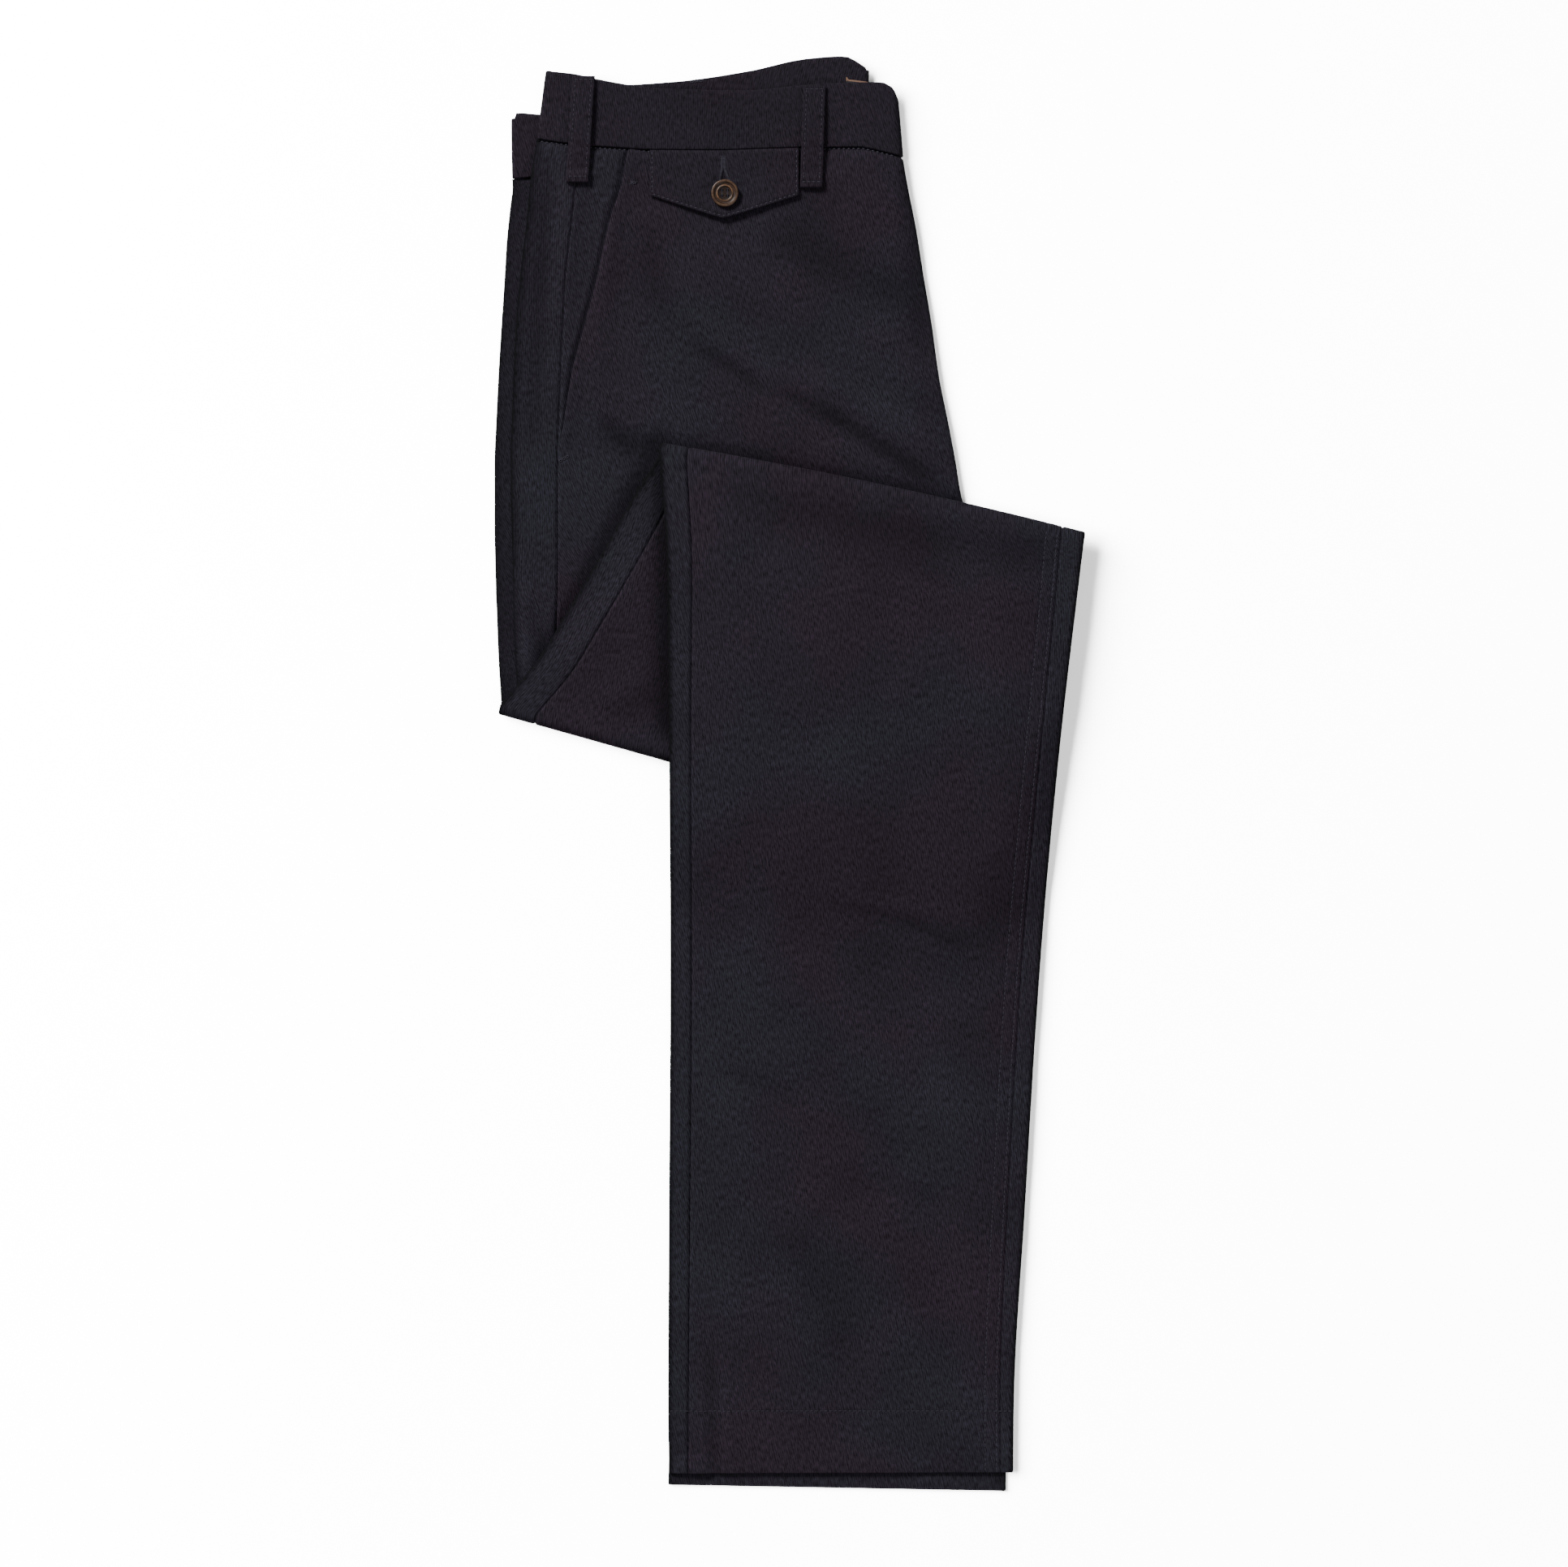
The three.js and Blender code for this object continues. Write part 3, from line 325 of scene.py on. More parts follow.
class Rows:
    """Dense rows down the folded legs. Each column is an array of shape (rows, 1)."""

    def __init__(self):
        table = np.array(list(LEVELS.values()), float)
        blocks, kinds, angles, lengths = [], [], [], []
        self.index = {}
        stretches = (
            (WAIST, "band_seam", "lower_fold", (0, 1)),
            (BACK, "lower_fold", "upper_fold", (1, -1)),
            (SHIN, "upper_fold", "hem", (-1, 0)),
        )
        down, count = 0.0, 0
        for kind, first, last, shifts in stretches:
            names = NAMES[NAMES.index(first) : NAMES.index(last) + 1]
            part = table[NAMES.index(first) : NAMES.index(last) + 1].copy()
            for row, shift in zip((0, -1), shifts):
                # The cloth turns over beside the fold's line, so that its outside touches the line.
                run = part[row, 2:4] - part[row, 0:2]
                up = np.array([-run[1], run[0]]) / np.linalg.norm(run)
                part[row, 0:2] += up * REACH * shift
                part[row, 2:4] += up * REACH * shift
            middle = (part[:, 0:2] + part[:, 2:4]) / 2
            knots = np.concatenate([[0], np.cumsum(np.linalg.norm(np.diff(middle, axis=0), axis=1))])
            at = np.linspace(0, knots[-1], int(knots[-1] / ROW_STEP) + 1)
            if kind == WAIST:
                at = np.concatenate([at, DITCH_ROWS])
            if kind == SHIN:
                at = np.concatenate([at, knots[names.index("hem_stitch")] + GROOVE_ROWS])
            at = np.concatenate([at[np.abs(at[:, None] - knots).min(axis=1) > ROWS_APART], knots])
            at.sort()
            for name, knot in zip(names, knots):
                self.index[name, kind] = count + int(np.searchsorted(at, knot))
            turned = np.linspace(0, math.pi, TURN_STEPS + 1)[1:-1] if kind != SHIN else np.zeros(0)
            blocks.append(smooth_through(at, knots, part))
            blocks.append(np.repeat(blocks[-1][-1:], len(turned), axis=0))
            kinds.append(np.repeat((kind, kind + 1), (len(at), len(turned))))
            angles.append(np.concatenate([0 * at, turned]))
            lengths.append(down + np.concatenate([at, knots[-1] + turned * REACH / 2]))
            down += knots[-1] + math.pi * REACH / 2
            count += len(at) + len(turned)
        everything = np.vstack(blocks)
        for i, column in enumerate(ROW_COLUMNS):
            setattr(self, column, everything[:, i : i + 1])
        self.kind = np.concatenate(kinds)[:, None]
        self.angle = np.concatenate(angles)[:, None]
        self.down = np.concatenate(lengths)[:, None]
        self.count = len(self.kind)
        self.inset = np.zeros((self.count, 1))
        self.slide = np.zeros((self.count, 1))
        self.measure()

    def measure(self):
        run = np.hstack([self.x1 - self.x0, self.y1 - self.y0])
        self.width = np.linalg.norm(run, axis=1)[:, None]
        self.run_x, self.run_y = run[:, :1] / self.width, run[:, 1:] / self.width
        lift = WAIST_LIFT * smooth(((self.y0 + self.y1) / 2 - LIFT_FROM) / (LIFT_TO - LIFT_FROM))
        self.lift = np.where(self.kind == WAIST, lift, 0)

    def take(self, order):
        """The same rows in another order, such as a stretch of them or some of them turned back."""
        part = object.__new__(Rows)
        part.__dict__.update(self.__dict__)
        for name, value in self.__dict__.items():
            if isinstance(value, np.ndarray):
                setattr(part, name, value[order])
        part.count = len(part.kind)
        return part

    def with_hem(self):
        """The rows, and after them the hem's rolled edge and its turned-up layer."""
        hem = self.count - 1
        body, turn = np.arange(self.count), np.linspace(0, math.pi, HEM_TURNS + 1)[1:]
        inside = [i for i in range(hem - 1, 0, -1) if self.down[hem, 0] - self.down[i, 0] < HEM_DEPTH]
        part = self.take(np.concatenate([body, np.full(len(turn), hem), inside]).astype(int))
        inset = (0.0 * body, HEM_ROLL * (1 - np.cos(turn)), np.full(len(inside), 2 * HEM_ROLL))
        slide = (0.0 * body, -HEM_ROLL * np.sin(turn), np.zeros(len(inside)))
        length = (
            self.down[:, 0],
            self.down[hem, 0] + HEM_ROLL * turn,
            2 * self.down[hem, 0] + math.pi * HEM_ROLL - self.down[inside, 0],
        )
        columns = (inset, slide, length)
        part.inset, part.slide, part.down = (np.concatenate(column)[:, None] for column in columns)
        return part


ROWS = Rows()


def past_line(x, y, x0, y0, x1, y1):
    """Distance of points from a line, counted to the right of the way it runs."""
    return ((x - x0) * (y1 - y0) - (y - y0) * (x1 - x0)) / math.hypot(x1 - x0, y1 - y0)


def shin_ground(x, y):
    """Height of what the shins lie on: they slope to the table past the turned-up stretch."""
    x0, y0, x1, y1 = LEVELS["lower_fold"][:4]
    x2, y2 = LEVELS["upper_fold"][2:4]
    past_fold = past_line(x, y, x0, y0, x1, y1) - FOLD_BRIDGE
    past_edge = past_line(x, y, x1, y1, x2, y2) - SIDE_BRIDGE
    return 2 * STOREY * (1 - smooth(past_fold / FOLD_DROP)) * (1 - smooth(past_edge / SIDE_DROP))


def relief(x, y, kind, leg):
    """Height of the soft creases at points of one leg."""
    total = np.zeros(np.broadcast(x, kind).shape)
    for crease_kind, crease_leg, x0, y0, x1, y1, width, height in CREASES:
        if crease_leg != leg:
            continue
        length = math.hypot(x1 - x0, y1 - y0)
        along = ((x - x0) * (x1 - x0) + (y - y0) * (y1 - y0)) / length
        across = past_line(x, y, x0, y0, x1, y1)
        ends = smooth((along / length + CREASE_ENDS) / CREASE_FADE)
        ends = ends * smooth((1 + CREASE_ENDS - along / length) / CREASE_FADE)
        total += np.where(kind == crease_kind, height * ends * np.exp(-((across / width) ** 2)), 0)
    flat = np.isin(kind, (WAIST, BACK, SHIN))
    for height, *waves in SWELLS:
        for along_x, along_y, begin in waves:
            height = height * np.sin(x / along_x + y / along_y + begin)
        total = total + height * flat
    total = total * bpy.context.scene.trousers_sizes.crease
    most = np.where(total < 0, TROUGH_MOST, RIDGE_MOST)
    return most * np.tanh(total / most)


def place(rows, leg, u, depth):
    """Points of a leg, in millimetres. u runs along each row from the right leg's left edge, and
    depth inwards from the outer face of the leg's front."""
    return lay(rows, leg, u, depth)[0]


def lay(rows, leg, u, depth):
    """The same points, and how far the soft creases raise each of them."""
    u, depth = np.broadcast_arrays(u + 0.0 * rows.x0, depth + 0.0 * rows.x0)
    h = PILE + rows.lift - depth if leg == "right" else depth
    share = np.clip(u / rows.width, 0, 1)
    up_x, up_y = -rows.run_y, rows.run_x
    out = 4 * rows.bow * share * (1 - share) + rows.slide
    turning, returning = rows.kind == TURN, rows.kind == RETURN
    out = out - np.where(turning, (REACH - h) * np.sin(rows.angle), 0)
    out = out + np.where(returning, (h + AIR / 2) * np.sin(rows.angle), 0)
    x = rows.x0 + rows.run_x * u + up_x * out
    y = rows.y0 + rows.run_y * u + up_y * out
    if leg == "right":
        y = y + rows.wave * np.interp(share, SEAM_WAVE["at"], SEAM_WAVE["rise"])
    else:
        y = y + mix(rows.drop0, rows.drop1, u / rows.width)
    z = np.select(
        [rows.kind == WAIST, turning, rows.kind == BACK, returning],
        [
            h,
            REACH - (REACH - h) * np.cos(rows.angle),
            STOREY + PILE - h,
            STOREY + REACH - (h + AIR / 2) * np.cos(rows.angle),
        ],
        shin_ground(x, y) + h,
    )
    level = np.where(rows.kind == BACK, PILE - h, h) / PILE
    calm = smooth(fold_distance(rows) / CALM_RUN)
    raised = relief(x, y, rows.kind, leg) * calm
    if leg == "right":
        share_moved = smooth(level)
    else:
        share_moved = np.where(rows.kind == BACK, smooth(level), smooth(1 - level))
        raised = np.where(rows.kind == BACK, raised, np.maximum(-raised, 0))
    return np.stack([x, y, z + raised * share_moved], axis=-1), raised * share_moved


CALM_RUN = 16  # creases die out this near a fold or the waistband seam


def fold_distance(rows):
    """Distance of each row from the nearest fold or the waistband seam."""
    folds = (("lower_fold", WAIST), ("lower_fold", BACK), ("upper_fold", BACK), ("upper_fold", SHIN))
    marks = [ROWS.down[ROWS.index[fold], 0] for fold in folds]
    marks.append(ROWS.down[0, 0])
    return np.abs(rows.down - np.array(marks)).min(axis=1)[:, None]


# ---- Panels ---------------------------------------------------------------------------------

SEAM_OFFSETS = np.array([0, 0.3, 0.7, 1.2, 1.9, 3.0, 5.0])
INSEAM_OFFSETS = np.array(
    [0, 0.3, 0.7, 1.2, 1.7, 2.0, 2.3, 2.6, 3.0, 4.5, 6.5, 7.9, 8.2, 8.5, 8.8, 9.2, 11.0, 14.0]
)
STITCH_ROWS = (2.3, 8.5)  # distances of the inseam's topstitching from its seam
STITCH_DEPTH = 0.22
STITCH_HALF = 0.5
HEM_GROOVE = 0.22
CURL_TUCK = 3.0  # how far the backs end inside the centre front's fold
CURL_DEEPER = 1.3  # how much deeper they start there
CURL_LIP = 6.0
CURL_EASE = 40
WAIST_DITCH_DEPTH, WAIST_DITCH_WIDTH = 2.1, 2.2  # times as deep and wide as another seam's
HALF_GAP = 0.05  # from a seam to the edge of a panel
TUCK = 0.4  # from a folded edge to the flat ply inside it
FRONT_COLUMNS, HIDDEN_COLUMNS = 46, 26
POCKET_ROLL = 0.35
POCKET_STAND, POCKET_EASE = 2, 8  # the pocket's edge stands up this far in, and then eases down
ROLL_TURNS = np.radians(np.linspace(90, -90, 11))
LIP_SHARES = np.linspace(0, 1, 6)[1:]


def seam_ditch(distance):
    """Hollow at a distance from a seam."""
    sizes = bpy.context.scene.trousers_sizes
    return sizes.ditch / MM * np.exp(-((distance / (sizes.ditch_width / MM)) ** 2))


def end_ditch(rows):
    """Hollow where the panels are sewn to the waistband."""
    return WAIST_DITCH_DEPTH * seam_ditch((rows.down - ROWS.down[0, 0]) / WAIST_DITCH_WIDTH)


def hem_groove(rows):
    """Hollow along the hem's row of stitches."""
    from_row = rows.down - ROWS.down[ROWS.index["hem_stitch", SHIN], 0]
    return HEM_GROOVE * np.exp(-((from_row / STITCH_HALF) ** 2))


def front_section(rows, leg):
    """Columns of a front panel from its side edge to the inseam or round the centre front."""
    radius = (PILE + rows.lift) / 2
    if leg == "right":
        start = rows.front
        open_edge = smooth((rows.front - rows.side - 0.4) / 1.5)
    else:
        start = rows.l0 + rows.lside + HALF_GAP
        open_edge = 0 * rows.front
    flat_end = rows.width - rows.inseam - HALF_GAP
    inner_start = start + SEAM_OFFSETS[-1]
    middle = np.linspace(0, 1, FRONT_COLUMNS)[None, :-1]
    flat = np.hstack([
        start + SEAM_OFFSETS[None, :-1],
        mix(inner_start, flat_end - INSEAM_OFFSETS[-1], middle),
        flat_end - INSEAM_OFFSETS[None, ::-1],
    ])
    from_start, from_end = flat - start, flat_end - flat
    # Round the centre front the same columns lie along a half circle first and then flat.
    first = np.arcsin(HALF_GAP / radius)
    arc = (math.pi / 2 - first) * radius
    reach = rows.width - radius - start
    length = from_end + smooth(from_end / CURL_EASE) * (reach + arc - (flat_end - start))
    turn = np.clip(first + length / radius, 0, math.pi / 2)
    curled = length < arc
    round_from = rows.width - radius
    round_u = np.where(curled, round_from + radius * np.cos(turn), round_from - (length - arc))
    ditch = np.maximum(seam_ditch(from_end), end_ditch(rows))
    edge_roll = POCKET_ROLL * np.exp(-((from_start / POCKET_ROLL) ** 2))
    rows_sewn = sum(np.exp(-(((from_end - at) / STITCH_HALF) ** 2)) for at in STITCH_ROWS)
    raised = POCKET_EDGE * open_edge * (1 - smooth((from_start - POCKET_STAND) / POCKET_EASE))
    sunk = ditch + seam_ditch(from_start) * (1 - open_edge) + edge_roll * open_edge - raised
    sunk = sunk + rows_sewn * STITCH_DEPTH * (1 - rows.curl) + rows.inset + hem_groove(rows)
    u = mix(flat, round_u - ditch * np.cos(turn) * curled, rows.curl)
    round_depth = radius * (1 - np.sin(turn)) + np.where(curled, ditch * np.sin(turn), sunk)
    grain = mix(flat, round_from + arc - length, rows.curl)
    return u, mix(sunk, round_depth, rows.curl), grain - rows.width / 2


def back_section(rows, leg):
    """Columns of a back panel: lip at the side seam, fold, hidden ply, fold and inseam lip."""
    tucked = CURL_TUCK * rows.curl
    if leg == "right":
        seam, edge, far_edge = rows.side - HALF_GAP, 0 * rows.side, rows.width - tucked
    else:
        seam, edge, far_edge = rows.l0 + rows.lside - HALF_GAP, rows.l0, rows.width - rows.l1 - tucked
    far_seam = mix(rows.width - rows.inseam + HALF_GAP, far_edge - CURL_LIP, rows.curl)
    turns = ROLL_TURNS[None, :]
    roll = ROLL - rows.inset
    # Round the centre front the fronts lie outside the backs, whose far lip then starts deeper.
    deeper = CURL_DEEPER * rows.curl
    far_roll = ROLL - deeper / 2
    inside, far_inside = edge + ROLL + TUCK, far_edge - far_roll - TUCK
    lip = np.hstack([
        seam - SEAM_OFFSETS[None, :],
        mix(seam - SEAM_OFFSETS[-1], inside, LIP_SHARES[None, :]),
    ])
    hidden = mix(inside, far_inside, np.linspace(0, 1, HIDDEN_COLUMNS)[None, :])
    far_lip = np.hstack([
        mix(far_inside, far_seam + SEAM_OFFSETS[-3], LIP_SHARES[None, :]),
        far_seam + SEAM_OFFSETS[None, -4::-1],
    ])
    u = (
        lip,
        edge + ROLL - roll * np.cos(turns),
        hidden,
        far_edge - far_roll + (far_roll - rows.inset) * np.cos(turns),
        far_lip,
    )
    depth = (
        np.maximum(seam_ditch(seam - lip), end_ditch(rows)) + rows.inset,
        ROLL - roll * np.sin(turns) + end_ditch(rows) * np.sin(turns),
        2 * ROLL - rows.inset + 0 * hidden,
        2 * ROLL - far_roll + (far_roll - rows.inset) * np.sin(turns),
        deeper + seam_ditch(far_lip - far_seam) + rows.inset,
    )
    grain = (2 * edge - lip, edge - ROLL * turns, hidden, far_edge - far_roll * turns, 2 * far_edge - far_lip)
    return np.hstack(u), np.hstack(depth) + hem_groove(rows), np.hstack(grain) - rows.width / 2


def mesh_piece(name, points, faces, grain=None):
    """A new object of points in metres and faces, with its grain as a UV map in metres."""
    mesh = bpy.data.meshes.new(name)
    mesh.from_pydata(np.reshape(points, (-1, 3)).tolist(), [], faces)
    if grain is not None:
        loops = np.zeros(len(mesh.loops), int)
        mesh.loops.foreach_get("vertex_index", loops)
        uv = np.reshape(grain, (-1, 2))[loops].astype(np.float32)
        mesh.uv_layers.new(name="grain").data.foreach_set("uv", uv.ravel())
    piece = bpy.data.objects.new(name, mesh)
    bpy.context.scene.collection.objects.link(piece)
    return piece


def grid_mesh(name, points, grain, flip=False):
    """Sheet through a grid of points."""
    count, across = points.shape[:2]
    index = np.arange(count * across).reshape(count, across)
    faces = np.stack([index[:-1, :-1], index[1:, :-1], index[1:, 1:], index[:-1, 1:]], axis=-1)
    faces = faces.reshape(-1, 4)
    if flip:
        faces = faces[:, ::-1]
    return mesh_piece(name, points, faces.tolist(), grain)


def select_only(piece):
    bpy.ops.object.select_all(action="DESELECT")
    piece.select_set(True)
    bpy.context.view_layer.objects.active = piece


def outwards(piece):
    """Turns a closed body's faces to point outwards."""
    select_only(piece)
    bpy.ops.object.mode_set(mode="EDIT")
    bpy.ops.mesh.select_all(action="SELECT")
    bpy.ops.mesh.normals_make_consistent(inside=False)
    bpy.ops.object.mode_set(mode="OBJECT")


def thicken(piece, thickness):
    """Gives a sheet its thickness inwards from its outer face and smooths its shading."""
    select_only(piece)
    solid = piece.modifiers.new("thickness", "SOLIDIFY")
    solid.thickness = thickness
    solid.offset = -1
    solid.use_even_offset = False
    bpy.ops.object.modifier_apply(modifier=solid.name)
    bpy.ops.object.shade_smooth_by_angle(angle=math.radians(50))


def finish_piece(piece, slot, *nodes):
    """Attaches a piece to its body and hides the solids it replaces. Its slot is not used."""
    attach(piece, BODY)
    if nodes:
        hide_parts(*nodes)


# A point attribute holds how far creases raise the cloth, in millimetres, less the painted shade along the
# backs' turned edges. By it the twill is painted darker in the troughs, as painted shade, and paler on the
# ridges, as a painted highlight.
RIDGE_PAINTED_LIGHT = 0.3  # how much painted highlight a ridge gets beside how much painted shade a trough of its size gets
EDGE_PAINTED_SHADE, EDGE_SHADE_WIDTH = 2.7, 1.9  # painted shade along the turned edges of the backs, and how far it reaches from them


def edge_shade_share(u):
    """How near a back's points lie to its two turned edges, from 0 to 1: the share of the painted shade along
    them.
    """
    near = u - u.min(axis=1, keepdims=True)
    far = u.max(axis=1, keepdims=True) - u
    return np.exp(-((np.minimum(near, far) / EDGE_SHADE_WIDTH) ** 2))


def make_panel(name, leg, section, nodes, flip):
    """One cut panel of a leg, from the waistband seam to its turned-up hem."""
    sizes = bpy.context.scene.trousers_sizes
    rows = ROWS.with_hem()
    u, depth, grain_x = section(rows, leg)
    points, raised = lay(rows, leg, u, depth)
    points = points * MM
    side = -1 if flip else 1
    grain = np.stack([side * grain_x * MM, -rows.down * MM + 0 * grain_x], axis=-1)
    cut = "back" if section is back_section else "front"
    # Painted shade in the troughs of creases, and a weaker painted highlight on their ridges
    painted_shading = np.where(raised < 0, raised, RIDGE_PAINTED_LIGHT * raised)
    if cut == "back":
        # Painted shade along the backs' turned edges, where the pile steps down
        painted_shading = painted_shading - EDGE_PAINTED_SHADE * edge_shade_share(u)
    panel = grid_mesh(name, points, grain, flip)
    shade_layer = panel.data.attributes.new("painted_shading", "FLOAT", "POINT")
    shade_layer.data.foreach_set("value", painted_shading.astype(np.float32).ravel())
    thicken(panel, sizes.ply)
    panel.data.materials.append(twill(cut))
    finish_piece(panel, "twill", *nodes)
    return panel, points


def grid_area(points):
    """Area of a sheet through a grid of points."""
    a, b, c, d = points[:-1, :-1], points[1:, :-1], points[1:, 1:], points[:-1, 1:]
    cross = np.linalg.norm(np.cross(c - a, d - b), axis=-1) / 2
    return float(cross.sum())


def declare(piece, width, length, area=None):
    """Caps the area of a piece of cloth's flat cut, in metres, at its width times its length, and keeps the
    result nowhere. One with no area is a rectangle.
    """
    area = area and min(area, width * length)


def declare_cut(piece, points, held, rests_on):
    """Measures the cut of a sheet: its widest and longest lines of points, and its area, and hands them to
    declare().
    """
    across = np.linalg.norm(np.diff(points, axis=1), axis=-1).sum(axis=1).max()
    along = np.linalg.norm(np.diff(points, axis=0), axis=-1).sum(axis=0).max()
    declare(piece, float(across), float(along), grid_area(points))


# ---- Waistband and what lies on the right front ---------------------------------------------

BAND_ROUND = 0.9
BAND_CROWN = 0.12
BAND_STEP = 4.0
BAND_HEIGHT = 36
BAND_SEAM = 0.1  # from the panels' edge up to the waistband's
BAND_RIM = np.array([0.04, 0.15, 0.35, 0.6])
BAND_DENT, BAND_WAVE = 0.22, 14.0
SHARED_FROM, SHARED_RUN = 4, 16  # where both backs come to share one seam under the right half


def edge_at(table, share):
    """Points of a waistband's upper edge at shares of its seam."""
    table = np.array(table, float)
    return smooth_through(np.clip(share, 0, table[-1, 0]), table[:, 0], table[:, 1:])


def band_ring(height):
    """Cross-section of the waistband: distances up from its seam, and out from its middle."""
    middle = np.linspace(BAND_ROUND, height - BAND_ROUND, 12)
    up = np.concatenate([BAND_RIM, middle, height - BAND_RIM[::-1]])
    near = np.clip(np.minimum(up, height - up) / BAND_ROUND, 0, 1)
    out = BAND_PLY / 2 * np.sqrt(1 - (1 - near) ** 2) + BAND_CROWN * np.sin(math.pi * up / height)
    return np.concatenate([up, [height], up[::-1], [0]]), np.concatenate([out, [0], -out[::-1], [0]])


def band_stations(leg, front_edge, back_edge):
    """Places along half a waistband: seam point, top point, shift, height and the way it faces."""
    seam = ROWS.take(np.array([0]))
    width = seam.width[0, 0]
    side = 0 if leg == "right" else seam.l0[0, 0]
    half, radius, bend = BAND_PLY / 2, BAND_PILE / 2, BAND_PLY + AIR / 2
    flat_end, back_end = width - radius, CENTRE_BACK * width
    stations = []

    def seam_point(u, row):
        return place(seam, row, np.array([[u]]), 0)[0, 0, :2]

    def put(u, edge, rise, shift, z, degrees, row=leg, shared=0.0):
        low = mix(seam_point(u, row), seam_point(u, "right"), shared) + [0, BAND_SEAM + rise]
        top = edge_at(edge, np.array([(u - side) / (width - side)]))[0]
        if leg == "left":
            z, degrees = BAND_PILE - z, -degrees
        stations.append((low, top, shift, z, math.radians(degrees)))

    for degrees in np.linspace(0.8, 90, 8)[:-1]:
        turn = math.radians(degrees)
        z = radius + (radius - half) * math.sin(turn)
        put(flat_end + radius * math.cos(turn), front_edge, 0, -half * math.cos(turn), z, degrees)
    top_ply = BAND_PILE - half
    for u in np.linspace(flat_end, side + bend + 2, int((flat_end - side) / BAND_STEP)):
        put(u, front_edge, 0, 0, top_ply, 90)
    for degrees in np.linspace(90, 270, 13):
        turn = math.radians(degrees)
        edge = front_edge if degrees < 180 else back_edge
        z = BAND_PILE - bend + (bend - half) * math.sin(turn)
        put(side, edge, 0, bend + (bend - half) * math.cos(turn), z, degrees)
    back_ply = top_ply - BAND_PLY - AIR
    for u in np.linspace(side + bend + 2, back_end - bend, int((back_end - side) / BAND_STEP)):
        rise = BACK_RISE * float(smooth(u / back_end))
        shared = float(smooth((u - SHARED_FROM) / SHARED_RUN))
        put(u, back_edge, rise, 0, back_ply, 270, leg, shared)
    for degrees in (255, 235, 215, 205):
        turn = math.radians(degrees)
        shift = -bend - (bend - half) * math.cos(turn)
        z = radius - (bend - half) * math.sin(turn)
        put(back_end, back_edge, BACK_RISE, shift, z, degrees, "right")
    return stations


def loft_mesh(name, rings, grain):
    """Closed body through rings of points, with capped ends."""
    count, around = len(rings), len(rings[0])
    index = np.arange(count * around).reshape(count, around)
    after = np.roll(index, -1, axis=1)
    faces = np.stack([index[:-1], after[:-1], after[1:], index[1:]], axis=-1).reshape(-1, 4).tolist()
    faces += [index[0][::-1].tolist(), index[-1].tolist()]
    body = mesh_piece(name, rings, faces, grain)
    outwards(body)
    bpy.ops.object.shade_smooth_by_angle(angle=math.radians(50))
    return body


def make_band(name, leg, front_edge, back_edge, node):
    """Half of the waistband: over the front, round the side and along the back."""
    rings, grain, run, last = [], [], 0.0, None
    for low, top, shift, z, turn in band_stations(leg, BAND_EDGES[front_edge], BAND_EDGES[back_edge]):
        height = float(np.linalg.norm(top - low))
        up, out = band_ring(height)
        middle = low + np.outer(up / height, top - low)
        dent = BAND_DENT * np.sin(middle[:, 0] / BAND_WAVE + 0.5) * np.sin(math.pi * up / height)
        x = middle[:, 0] + shift + math.cos(turn) * out
        rings.append(np.stack([x, middle[:, 1], z + math.sin(turn) * out + dent], axis=-1) * MM)
        here = np.array([(low + top)[0] / 2 + shift, z])
        run += 0 if last is None else float(np.linalg.norm(here - last))
        last = here
        along = -run if leg == "right" else run
        grain.append(np.stack([along + 0 * up, up], axis=-1) * MM)
    band = loft_mesh(name, rings, grain)
    band.data.materials.append(twill("trim"))
    finish_piece(band, "twill", node)
    return band, run * MM


def row_height(x, y):
    """Height of the right front's outer face at points near the waist."""
    rows = ROWS.take(np.arange(ROWS.index["seat", WAIST]))
    flat = np.broadcast_arrays(x, y)
    heights = np.zeros(flat[0].size)
    for i, (px, py) in enumerate(zip(flat[0].ravel(), flat[1].ravel())):
        ys = (rows.y0 + (px - rows.x0) * rows.run_y / rows.run_x)[:, 0]
        heights[i] = PILE + np.interp(py, ys[::-1], rows.lift[::-1, 0])
    raised = relief(flat[0], flat[1], np.array(WAIST), "right")
    return heights.reshape(flat[0].shape) + raised


def seam_y(x):
    """Y of the waistband seam of the right leg."""
    rows = ROWS.take(np.array([0]))
    u = (np.asarray(x, float) - rows.x0[0, 0]) / rows.run_x[0, 0]
    return place(rows, "right", np.atleast_2d(u), 0)[0, :, 1]


FACING_SINK, FACING_RUN = 1.4, 4.0  # how far the facing dips beside the front's edge, and where
FACING_COLUMNS = np.concatenate(
    [[0, 0.012, 0.03, 0.06, 0.1], np.linspace(0.16, 0.9, 14), [0.94, 0.97, 1]]
)
FACING_UNDER = np.array([1.0, 2.5, 4.5, 7.0])  # columns under the front


